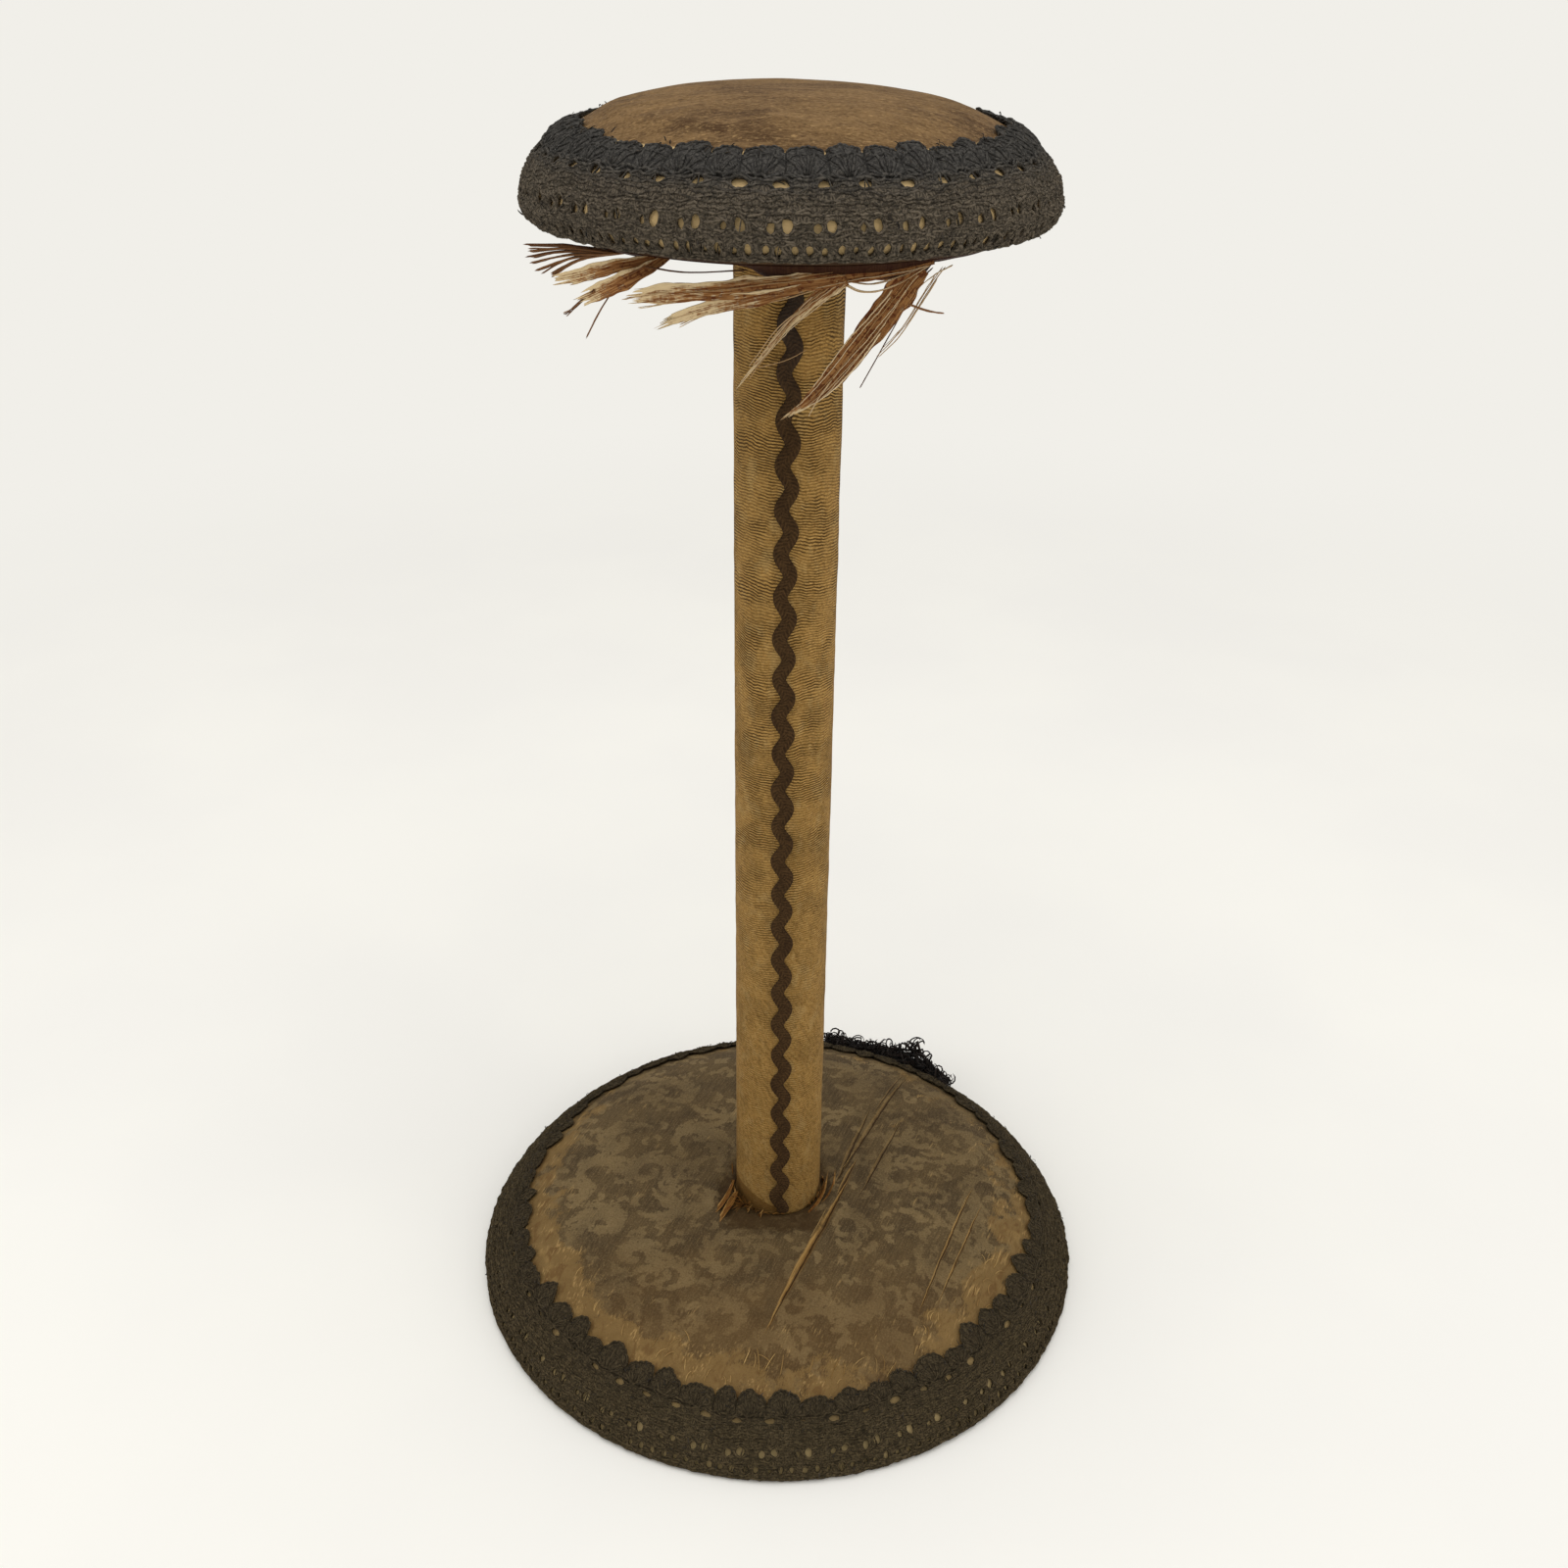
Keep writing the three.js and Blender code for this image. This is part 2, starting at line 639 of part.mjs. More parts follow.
// A shred of the lining. Its points are shares: across and forward, of the radius of the lining's
// seam, and down from its root, of the longest drop. Its flat side faces forward.
function shredGeometry({ pathShares, widths, steps }) {
  const points = pathShares.map(
    ([across, forward, down]) =>
      new THREE.Vector3(across * seamRadius, -forward * seamRadius, -down * tear.shredDrop),
  );
  const curve = new THREE.CatmullRomCurve3(points, false, "chordal");
  const facing = new THREE.Vector3(0, tear.shredThickness / 2, 0);
  const rings = Array.from({ length: steps + 1 }, (_, i) => {
    const at = curve.getPoint(i / steps);
    const along = curve.getTangent(i / steps);
    const place = (i / steps) * (widths.length - 1);
    const left = Math.min(Math.floor(place), widths.length - 2);
    const width = THREE.MathUtils.lerp(widths[left], widths[left + 1], place - left);
    const across = new THREE.Vector3(along.z, 0, -along.x).normalize().multiplyScalar(width / 2);
    return [
      at.clone().sub(across).sub(facing),
      at.clone().add(across).sub(facing),
      at.clone().add(across).add(facing),
      at.clone().sub(across).add(facing),
    ];
  });
  return loft(rings);
}

// A shred of one or more strands, hung so that it comes within a gap of the lining above it.
function addShred(name, strands) {
  const solid = strands.map((strand) => toSolid(shredGeometry(strand))).reduce((all, one) => all.add(one));
  const piece = addPiece(padGroup, name, toGeometry(solid), "lining");
  const corners = piece.geometry.getAttribute("position");
  const upwards = new THREE.Vector3(0, 0, 1);
  const rooms = Array.from({ length: corners.count }, (_, i) => {
    const corner = new THREE.Vector3().fromBufferAttribute(corners, i);
    const below = corner.clone().setZ(-standHeight);
    const [hit] = new THREE.Raycaster(below, upwards).intersectObject(lining);
    return hit ? hit.point.z - corner.z : Infinity;
  });
  piece.position.z = Math.min(...rooms) - gap;
}

const { broad, narrow, fine, thread } = tear.widths;
addShred(
  "lining_band_front",
  [
    {
      pathShares: [
        [0.58, 0.787, 0],
        [0.487, 0.879, 0.01],
        [0.348, 0.972, 0.02],
        [0.116, 1.021, 0.04],
        [-0.139, 1.025, 0.07],
        [-0.371, 1, 0.1],
        [-0.603, 0.936, 0.11],
      ],
      widths: [fine, fine, narrow, broad, fine],
      steps: 12,
    },
    {
      pathShares: [
        [-0.278, 1.007, 0.1],
        [-0.383, 0.979, 0.2],
        [-0.475, 0.929, 0.27],
      ],
      widths: [narrow, narrow, thread],
      steps: 4,
    },
  ],
);
addShred(
  "lining_strip_right",
  [
    {
      pathShares: [
        [0.516, 0.822, 0],
        [0.464, 0.815, 0.1],
        [0.305, 0.73, 0.44],
        [0.188, 0.669, 0.67],
        [0.003, 0.588, 0.95],
      ],
      widths: [narrow, broad, broad, narrow, thread],
      steps: 9,
    },
    {
      pathShares: [
        [0.467, 0.815, 0.09],
        [0.441, 0.773, 0.36],
        [0.313, 0.687, 0.74],
      ],
      widths: [thread, thread, thread],
      steps: 4,
    },
  ],
);
addShred(
  "lining_strip_middle",
  [
    {
      pathShares: [
        [0.218, 0.95, 0],
        [0.151, 0.908, 0.07],
        [0, 0.815, 0.29],
        [-0.081, 0.773, 0.45],
        [-0.204, 0.694, 0.69],
      ],
      widths: [narrow, narrow, fine, thread],
      steps: 8,
    },
  ],
);
addShred(
  "lining_strip_left",
  [
    {
      pathShares: [
        [-0.626, 0.758, 0],
        [-0.707, 0.794, 0.01],
        [-0.812, 0.801, 0.04],
        [-0.916, 0.787, 0.08],
      ],
      widths: [narrow, broad, narrow, fine],
      steps: 6,
    },
  ],
);
addShred(
  "lining_strip_left_lower",
  [
    {
      pathShares: [
        [-0.557, 0.815, 0],
        [-0.661, 0.844, 0.07],
        [-0.754, 0.815, 0.14],
        [-0.823, 0.787, 0.19],
      ],
      widths: [narrow, broad, narrow],
      steps: 5,
    },
    {
      pathShares: [
        [-0.8, 0.794, 0.18],
        [-0.858, 0.773, 0.25],
        [-0.916, 0.744, 0.34],
      ],
      widths: [thread, thread, thread],
      steps: 3,
    },
  ],
);
addShred(
  "lining_thread_left",
  [
    {
      pathShares: [
        [-0.499, 0.844, 0],
        [-0.649, 0.9, 0.12],
        [-0.765, 0.858, 0.28],
        [-0.835, 0.801, 0.48],
      ],
      widths: [thread, thread],
      steps: 6,
    },
  ],
);

// The tuft at the far left: threads that fan out from one root
const tuftRootShares = [-0.765, 0.595, 0];
addShred(
  "lining_tuft_left",
  tear.tuftEndShares.map(([across, down], i) => ({
    pathShares: [
      tuftRootShares,
      [
        (tuftRootShares[0] + across) / 2,
        tuftRootShares[1] - (i * tear.tuftSpreadShare) / 2,
        down * tear.tuftBendShare,
      ],
      [across, tuftRootShares[1] - i * tear.tuftSpreadShare, down],
    ],
    widths: [fine, thread, thread],
    steps: 3,
  })),
);

export default stand;
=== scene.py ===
"""An antique milliner's hat stand in silk and crochet braid, dressed over its CAD frame.

Sizes in the classes are millimetres, in the frame of the CAD model: +Z up, the front towards -Y,
the origin on the floor at the middle of the foot. Meshes are made in metres.
"""

import functools
import logging
import math
from collections.abc import Sequence
from dataclasses import dataclass
from enum import Enum
from typing import Any

import bpy
import numpy as np
from mathutils import Matrix, Vector, noise


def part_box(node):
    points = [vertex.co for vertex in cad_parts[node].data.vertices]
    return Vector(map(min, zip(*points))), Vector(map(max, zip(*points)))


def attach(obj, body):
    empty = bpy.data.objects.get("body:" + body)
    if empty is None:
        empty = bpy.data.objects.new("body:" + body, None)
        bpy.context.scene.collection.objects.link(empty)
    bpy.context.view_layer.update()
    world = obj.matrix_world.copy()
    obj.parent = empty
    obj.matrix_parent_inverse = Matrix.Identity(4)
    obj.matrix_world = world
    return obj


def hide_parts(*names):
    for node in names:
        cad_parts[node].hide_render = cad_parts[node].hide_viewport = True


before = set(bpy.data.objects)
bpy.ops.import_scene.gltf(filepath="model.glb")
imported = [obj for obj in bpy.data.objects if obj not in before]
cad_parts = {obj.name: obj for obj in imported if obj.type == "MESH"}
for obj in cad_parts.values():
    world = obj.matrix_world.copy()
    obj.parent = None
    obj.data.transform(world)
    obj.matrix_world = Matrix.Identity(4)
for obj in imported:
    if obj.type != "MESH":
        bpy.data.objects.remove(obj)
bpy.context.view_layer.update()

MM = 0.001
TURN = 2 * math.pi
log = logging.getLogger("hat_stand")

Array = np.ndarray
Chance = np.random.Generator
Piece = bpy.types.Object
Place = tuple[float, float, float]
Shade = tuple[int, int, int]  # a colour as seen, red, green and blue from 0 to 255
Threads = Sequence[tuple[Array, float]]  # the line and the radius of each thread
Sockets = dict[Any, Any]  # what goes into a node, by the socket's name or number


def dye(shade: Sequence[float]) -> tuple[float, float, float, float]:
    """Turns a colour as seen into the linear colour that a shader takes.

    Args:
        shade: Red, green and blue, from 0 to 255.

    Returns:
        The linear colour, opaque.
    """
    seen = [value / 255 for value in shade]
    linear = [v / 12.92 if v <= 0.04045 else ((v + 0.055) / 1.055) ** 2.4 for v in seen]
    return (*linear, 1.0)


def fade(value: Array, start: float, end: float) -> Array:
    """Goes smoothly from 0 at start to 1 at end."""
    share = np.clip((value - start) / (end - start), 0, 1)
    return share * share * (3 - 2 * share)


def bell(value: Array, middle: float, width: float) -> Array:
    """1 at the middle, down to about a third one width away from it."""
    return np.exp(-(((value - middle) / width) ** 2))


def lumps(points: Array, size: float, seed: float = 0.0) -> Array:
    """Smooth noise from about -1 to 1 at each point, in lumps of a size, different for each seed."""
    shift = Vector((seed * 7.31, seed * 3.17, seed * 5.53))
    return np.array([noise.noise(Vector(p) / size + shift) for p in points])


def ring(radius: Array | float, angle: Array, height: Array) -> Array:
    """Places round the stand's axis, one per row, from their radii, angles and heights."""
    return np.column_stack([radius * np.cos(angle), radius * np.sin(angle), height])


def floored(plan: Array) -> Array:
    """Gives places in plan a height of 0."""
    return np.column_stack([plan, np.zeros(len(plan))])


def row_of(points: Array, rows: int) -> Array:
    """The row of a cut cloth that each of its points is in."""
    return np.rint(points[:, 1] * rows).astype(int)


def smooth_path(points: Sequence[Sequence[float]], count: int) -> Array:
    """Lays a smooth line through points.

    Args:
        points: The places it goes through, any number of values each.
        count: How many points the smooth line has.

    Returns:
        The line, one point per row, evenly spaced between the given places.
    """
    known = np.asarray(points, dtype=float)
    ends = np.vstack([2 * known[0] - known[1], known, 2 * known[-1] - known[-2]])
    at = np.linspace(0, len(known) - 1, count)
    i = np.minimum(at.astype(int), len(known) - 2)
    t = (at - i)[:, None]
    a, b, c, d = (ends[i + step] for step in range(4))
    return 0.5 * (2 * b + (c - a) * t + (2 * a - 5 * b + 4 * c - d) * t**2 + (3 * b - a - 3 * c + d) * t**3)


def along_path(values: Sequence[float], count: int) -> Array:
    """Spreads a few values evenly over a number of steps."""
    return np.interp(np.linspace(0, 1, count), np.linspace(0, 1, len(values)), values)


class Bench:
    """The modelling steps that the pieces share."""

    @staticmethod
    def clear() -> None:
        """Leaves edit mode and deselects everything."""
        if bpy.context.object and bpy.context.object.mode != "OBJECT":
            bpy.ops.object.mode_set(mode="OBJECT")
        bpy.ops.object.select_all(action="DESELECT")

    @staticmethod
    def choose(piece: Piece) -> None:
        """Selects one piece alone and makes it active."""
        Bench.clear()
        piece.select_set(True)
        bpy.context.view_layer.objects.active = piece

    @staticmethod
    def named(piece: Piece, name: str) -> Piece:
        """Names a piece and its mesh."""
        piece.name = piece.data.name = name
        return piece

    @staticmethod
    def cloth(name: str, columns: int, rows: int) -> tuple[Piece, Array]:
        """Cuts a flat piece of cloth, 1 by 1, with its corner at the origin.

        Args:
            name: The piece's name.
            columns: Faces across.
            rows: Faces along.

        Returns:
            The flat grid and its points.
        """
        Bench.clear()
        sizes = {"x_subdivisions": columns, "y_subdivisions": rows, "size": 1}
        bpy.ops.mesh.primitive_grid_add(location=(0.5, 0.5, 0), **sizes)
        piece = Bench.named(bpy.context.object, name)
        bpy.ops.object.transform_apply(location=True, rotation=True, scale=True)
        return piece, Bench.points(piece)

    @staticmethod
    def read(items: Any, key: str, width: int = 1, kind: type = float) -> Array:
        """Reads a property of a mesh's points, edges, corners or faces.

        Args:
            items: The mesh's list of them.
            key: The property.
            width: How many values each of them has.
            kind: What the values are.

        Returns:
            The values, with a row for each item where it has more than one.
        """
        found = np.empty(width * len(items), dtype=kind)
        items.foreach_get(key, found)
        return found.reshape(-1, width) if width > 1 else found

    @staticmethod
    def points(piece: Piece) -> Array:
        """Reads a piece's points as they are kept, one per row."""
        return Bench.read(piece.data.vertices, "co", 3)

    @staticmethod
    def place(piece: Piece, points: Array, unit: float = MM) -> None:
        """Moves a piece's points to new places, in millimetres unless a unit is given."""
        piece.data.vertices.foreach_set("co", (np.asarray(points, dtype=float) * unit).ravel())
        piece.data.update()

    @staticmethod
    def mark(piece: Piece, **marks: Array) -> None:
        """Keeps values for the material, by name, one per point."""
        for name, values in marks.items():
            layer = piece.data.attributes.new(name, "FLOAT", "POINT")
            layer.data.foreach_set("value", np.asarray(values, dtype=float))

    @staticmethod
    def cut(piece: Piece, gone: Array) -> None:
        """Deletes faces, and what hangs loose after it.

        Args:
            piece: The piece.
            gone: For each face, whether it goes.
        """
        Bench.choose(piece)
        bpy.ops.object.mode_set(mode="EDIT")
        bpy.ops.mesh.select_mode(type="FACE")
        bpy.ops.mesh.select_all(action="DESELECT")
        bpy.ops.object.mode_set(mode="OBJECT")
        piece.data.polygons.foreach_set("select", gone)
        bpy.ops.object.mode_set(mode="EDIT")
        bpy.ops.mesh.delete(type="FACE")
        bpy.ops.mesh.select_all(action="SELECT")
        bpy.ops.mesh.delete_loose()
        bpy.ops.object.mode_set(mode="OBJECT")

    @staticmethod
    def weld(piece: Piece, reach: float = 0.001) -> None:
        """Merges points that lie together and turns the faces outwards.

        Args:
            piece: The piece.
            reach: How far apart merged points may be, in millimetres.
        """
        Bench.choose(piece)
        bpy.ops.object.mode_set(mode="EDIT")
        bpy.ops.mesh.select_all(action="SELECT")
        bpy.ops.mesh.remove_doubles(threshold=reach * MM)
        bpy.ops.mesh.normals_make_consistent(inside=False)
        bpy.ops.object.mode_set(mode="OBJECT")

    @staticmethod
    def thicken(piece: Piece, thickness: float, side: float = -1.0) -> None:
        """Gives a sheet its thickness.

        Args:
            piece: The sheet.
            thickness: Its thickness in millimetres.
            side: Where it goes: -1 for inwards, 0 for both sides.
        """
        Bench.choose(piece)
        wall = piece.modifiers.new("thickness", "SOLIDIFY")
        wall.thickness, wall.offset, wall.use_even_offset = thickness * MM, side, False
        bpy.ops.object.modifier_apply(modifier=wall.name)

    @staticmethod
    def settle(piece: Piece, held: Array, most: float, pressure: float = 9.0, frames: int = 20) -> None:
        """Lets a cover fill out over its stuffing, by a short cloth simulation with air under it.

        Args:
            piece: The cover.
            held: How firmly each of its points is held, from 0 to 1.
            most: How far a point may move, in millimetres.
            pressure: The force of the air.
            frames: How many frames the simulation runs.
        """
        Bench.choose(piece)
        before = Bench.points(piece)
        group = piece.vertex_groups.new(name="held")
        for index in np.flatnonzero(held > 0.01):
            group.add([int(index)], float(held[index]), "REPLACE")
        cloth = piece.modifiers.new("settle", "CLOTH")
        cloth.settings.vertex_group_mass, cloth.settings.quality = group.name, 5
        cloth.settings.use_pressure, cloth.settings.uniform_pressure_force = True, pressure
        cloth.settings.effector_weights.gravity = 0.0
        cloth.collision_settings.use_collision = False
        cloth.point_cache.frame_start, cloth.point_cache.frame_end = 1, frames
        for frame_number in range(1, frames + 1):
            bpy.context.scene.frame_set(frame_number)
        move = Bench.points(piece.evaluated_get(bpy.context.evaluated_depsgraph_get())) - before
        bpy.context.scene.frame_set(1)
        piece.modifiers.remove(cloth)
        piece.vertex_groups.remove(group)
        reach = np.linalg.norm(move, axis=1)[:, None]
        Bench.place(piece, before + move * np.minimum(1, most * MM / np.maximum(reach, 1e-9)), 1)
        log.info("%s settled by up to %.2f mm", piece.name, reach.max() / MM)

    @staticmethod
    def dress(piece: Piece, dress: "Dress", slot: str, *nodes: str) -> Piece:
        """Finishes a piece: smooth shading, material and body, and hides the nodes it stands for.

        Args:
            piece: The piece.
            dress: Its finish.
            slot: Not used.
            nodes: The CAD nodes that it replaces.

        Returns:
            The same piece.
        """
        Bench.choose(piece)
        bpy.ops.object.shade_smooth()
        piece.data.materials.clear()
        piece.data.materials.append(dress.value.material())
        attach(piece, "root")
        if nodes:
            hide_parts(*nodes)
        log.info("%s: %d faces", piece.name, len(piece.data.polygons))
        return piece

    @staticmethod
    def strands(name: str, threads: Threads, taper: float = 0.5, **marks: Sequence[float]) -> Piece:
        """Makes loose threads as one mesh.

        Args:
            name: The piece's name.
            threads: For each thread, the line that it follows and its radius, in millimetres.
            taper: A thread's radius at its far end, as a share.
            marks: More values to keep for the material, one per thread.

        Returns:
            The threads, each with a random value of its own in "shade".
        """
        Bench.clear()
        curve = bpy.data.curves.new(name, "CURVE")
        curve.dimensions, curve.bevel_depth, curve.bevel_resolution = "3D", MM, 0
        for line, radius in threads:
            spline = curve.splines.new("POLY")
            spline.points.add(len(line) - 1)
            spline.points.foreach_set("co", np.column_stack([line * MM, np.ones(len(line))]).ravel())
            girth = radius * np.linspace(1, taper, len(line))
            girth[[0, -1]] = 0
            spline.points.foreach_set("radius", girth)
        piece = bpy.data.objects.new(name, curve)
        bpy.context.scene.collection.objects.link(piece)
        Bench.choose(piece)
        bpy.ops.object.convert(target="MESH")
        piece = Bench.named(bpy.context.object, name)
        counts = np.array([len(line) for line, _ in threads])
        corners = len(piece.data.vertices) // counts.sum()
        marks["shade"] = np.random.default_rng(len(threads)).random(len(threads))
        Bench.mark(piece, **{title: np.repeat(kept, corners * counts) for title, kept in marks.items()})
        Bench.weld(piece, 1e-5)
        return piece


class Field:
    """A value or a colour that changes over a surface, with what nodes can do to it."""

    def __init__(self, graph: "Graph", socket: bpy.types.NodeSocket) -> None:
        """Keeps the graph and the socket that the value comes out of."""
        self.graph, self.socket = graph, socket

    def __add__(self, other: Any) -> "Field":
        """Adds a value."""
        return self.graph.math("ADD", self, other)

    def __sub__(self, other: Any) -> "Field":
        """Takes a value away."""
        return self.graph.math("SUBTRACT", self, other)

    def __rsub__(self, other: Any) -> "Field":
        """Is taken away from a value."""
        return self.graph.math("SUBTRACT", other, self)

    def __mul__(self, other: Any) -> "Field":
        """Multiplies by a value."""
        return self.graph.math("MULTIPLY", self, other)

    def __truediv__(self, other: Any) -> "Field":
        """Divides by a value."""
        return self.graph.math("DIVIDE", self, other)

    def __rtruediv__(self, other: Any) -> "Field":
        """Divides a value."""
        return self.graph.math("DIVIDE", other, self)

    def __abs__(self) -> "Field":
        """Drops the sign."""
        return self.graph.math("ABSOLUTE", self)

    def step(self, start: Any, end: Any, low: float = 0.0, high: float = 1.0) -> "Field":
        """Goes smoothly from low where this is start to high where it is end."""
        inputs = {0: self, 1: start, 2: end, 3: low, 4: high}
        return self.graph.value("ShaderNodeMapRange", inputs, interpolation_type="SMOOTHSTEP")

    def turned(self, degrees: float, scale: Place = (1, 1, 1)) -> "Field":
        """Turns places about Z, then stretches them along each axis."""
        inputs = {"Vector": self, "Rotation": (0, 0, math.radians(degrees)), "Scale": scale}
        return self.graph.value("ShaderNodeMapping", inputs)

    def grain(self, size: Any, detail: float = 2.0, twist: float = 0.0) -> "Field":
        """Noise over places, with lumps of a size in millimetres."""
        inputs = {"Vector": self, "Scale": 1 / size, "Detail": detail, "Distortion": twist}
        return self.graph.value("ShaderNodeTexNoise", inputs)

    def parts(self) -> list["Field"]:
        """The three parts of a place."""
        found = self.graph.add("ShaderNodeSeparateXYZ", {0: self}).outputs
        return [Field(self.graph, socket) for socket in found]

    def blotches(self, size: float, contrast: float) -> "Field":
        """Cloudy patches over places."""
        return self.graph.shared(blotch_group(), vector=self, size=size, contrast=contrast)["mask"]

    def threads(self, thread: float, run: float) -> tuple["Field", "Field"]:
        """Fine threads over places: their mask and their height."""
        found = self.graph.shared(threads_group(), vector=self, thread=thread, run=run)
        return found["mask"], found["height"]


class Graph:
    """Adds and links the nodes of one material or shader group."""

    def __init__(self, tree: bpy.types.NodeTree) -> None:
        """Starts on a tree, empty or not."""
        self.tree = tree

    def feed(self, socket: bpy.types.NodeSocket, value: Any) -> None:
        """Sets a socket to a value, or links it to another node's."""
        value = value.socket if isinstance(value, Field) else value
        if isinstance(value, bpy.types.NodeSocket):
            self.tree.links.new(value, socket)
        else:
            socket.default_value = value

    def add(self, kind: str, inputs: Sockets | None = None, **settings: Any) -> bpy.types.Node:
        """Adds a node.

        Args:
            kind: The node's type.
            inputs: What goes into its sockets: a value, a field or another node's socket.
            settings: Its own settings.

        Returns:
            The node.
        """
        node = self.tree.nodes.new(kind)
        for name, value in settings.items():
            setattr(node, name, value)
        for name, value in (inputs or {}).items():
            self.feed(node.inputs[name], value)
        return node

    def value(self, kind: str, inputs: Sockets | None = None, output: Any = 0, **settings: Any) -> Field:
        """Adds a node and returns one of its outputs."""
        return Field(self, self.add(kind, inputs, **settings).outputs[output])

    def math(self, operation: str, a: Any, b: Any = 0.0) -> Field:
        """One sum on two values."""
        return self.value("ShaderNodeMath", {0: a, 1: b}, operation=operation)

    def blend(self, share: Any, a: Any, b: Any) -> Field:
        """Mixes two colours by a share."""
        return self.value("ShaderNodeMix", {0: share, 6: a, 7: b}, 2, data_type="RGBA")

    def coats(self, colour: Field, *coats: tuple[Field, Shade]) -> Field:
        """Lays coats over a colour, each with how much of it shows and its shade."""
        for share, shade in coats:
            colour = self.blend(share, colour, dye(shade))
        return colour

    def vector(self, *parts: Any) -> Field:
        """A place, from its parts."""
        return self.value("ShaderNodeCombineXYZ", dict(enumerate(parts)))

    def here(self) -> Field:
        """The place on the piece, in millimetres."""
        place = self.value("ShaderNodeTexCoord", output="Object")
        return self.value("ShaderNodeVectorMath", {0: place, "Scale": 1 / MM}, operation="SCALE")

    def marked(self, name: str) -> Field:
        """A value kept on the piece's points."""
        return self.value("ShaderNodeAttribute", output="Fac", attribute_name=name)

    def shared(self, group: bpy.types.NodeTree, **inputs: Any) -> dict[str, Field]:
        """Places a shared group.

        Args:
            group: The group.
            inputs: What goes into its sockets, by name.

        Returns:
            Its outputs by name.
        """
        node = self.add("ShaderNodeGroup", node_tree=group)
        for name, value in inputs.items():
            self.feed(node.inputs[name.capitalize()], value)
        return {output.name.lower(): Field(self, output) for output in node.outputs}


BACKGROUND = dye((241, 239, 233))


def seen_ray(graph: Graph) -> Field:
    """1 for a ray from the camera, also in a reflection or through glass, and 0 for light.

    Args:
        graph: The graph of the material or the world.

    Returns:
        The field.
    """
    path = graph.add("ShaderNodeLightPath").outputs
    seen = graph.math("MAXIMUM", path["Is Camera Ray"], path["Is Glossy Ray"])
    return graph.math("MAXIMUM", seen, path["Is Transmission Ray"])


def new_group(name: str, given: Sockets, results: Sequence[str]) -> tuple[Graph, dict[str, Field], Any]:
    """Starts a shared shader group.

    Args:
        name: The group's name.
        given: Each input's name, with its value, or None for a vector.
        results: The names of the values that it puts out.

    Returns:
        The graph to fill, its inputs by name and its output node's sockets.
    """
    tree = bpy.data.node_groups.new(name, "ShaderNodeTree")
    for title, value in given.items():
        kind = "NodeSocketVector" if value is None else "NodeSocketFloat"
        socket = tree.interface.new_socket(title, in_out="INPUT", socket_type=kind)
        if value is not None:
            socket.default_value = value
    for title in results:
        tree.interface.new_socket(title, in_out="OUTPUT", socket_type="NodeSocketFloat")
    graph = Graph(tree)
    sockets = graph.add("NodeGroupInput").outputs
    fields = {title: Field(graph, sockets[title]) for title in given}
    return graph, fields, graph.add("NodeGroupOutput").inputs


@functools.cache
def threads_group() -> bpy.types.NodeTree:
    """Fine parallel threads: long streaks along Y, in a mask and a height.

    Returns:
        The group.
    """
    inputs = {"Vector": None, "Thread": 0.3, "Run": 9.0}
    graph, given, out = new_group("Fine threads", inputs, ["Mask", "Height"])
    across, along = 1 / given["Thread"], 1 / given["Run"]
    scale = graph.vector(across, along, across)
    drawn = graph.value("ShaderNodeVectorMath", {0: given["Vector"], 1: scale}, operation="MULTIPLY")
    streak = drawn.grain(1, 3)
    graph.feed(out["Mask"], streak.step(0.36, 0.66))
    graph.feed(out["Height"], streak + drawn.grain(0.45, 2))
    return graph.tree


@functools.cache
def blotch_group() -> bpy.types.NodeTree:
    """Soft, cloudy patches of a size, with their contrast.

    Returns:
        The group.
    """
    graph, given, out = new_group("Blotches", {"Vector": None, "Size": 10.0, "Contrast": 0.2}, ["Mask"])
    cloud = given["Vector"].grain(given["Size"], 4.0)
    graph.feed(out["Mask"], cloud.step(0.5 - given["Contrast"], graph.math("ADD", 0.5, given["Contrast"])))
    return graph.tree


@functools.cache
def stitch_group() -> bpy.types.NodeTree:
    """Rows of crochet stitches: pairs of slanting strands, each row set off by half a stitch.

    Returns:
        The group.
    """
    inputs = {"Across": 0.0, "Up": 0.0, "Pitch": 1.5, "Row": 1.3}
    graph, given, out = new_group("Crochet stitches", inputs, ["Height"])
    row = given["Up"] / given["Row"]
    place = given["Across"] / given["Pitch"] + graph.math("FLOOR", row) * 0.5
    side = abs(graph.math("FRACT", place) - 0.5)
    rise = graph.math("FRACT", row) - 0.5
    off = abs(side - (0.26 - rise * 0.24))
    graph.feed(out["Height"], off.step(0.24, 0.02) * abs(rise).step(0.52, 0.3))
    return graph.tree


@functools.cache
def split_group() -> bpy.types.NodeTree:
    """A straight split in cloth, from its own coordinates: its slit, painted dark as shade, its worn lips,
    and its lit edge, a painted highlight.

    Returns:
        The group.
    """
    inputs = {"Vector": None, "Length": 30.0, "Width": 0.5}
    graph, given, out = new_group("Split", inputs, ["Open", "Lips", "Light"])
    across, run, _ = given["Vector"].parts()
    ragged = given["Vector"].turned(0, (1, 0.3, 1)).grain(1.6, 3) - 0.5
    along = abs(run) / given["Length"]
    share = (across + ragged * 0.8) / (given["Width"] * along.step(0.52, 0.1, 0.25, 1.0))
    near = along.step(0.52, 0.4)
    for title, middle, wide in (("Open", 0.35, 0.55), ("Lips", 0.0, 1.7), ("Light", -0.85, 0.55)):
        graph.feed(out[title], abs(share - middle).step(wide, 0.2 * wide) * near)
    return graph.tree


Look = tuple[Field, Field]  # a finish's colour and its height
Coats = tuple[tuple[Field, Shade], ...]  # how much of each coat shows, and its shade


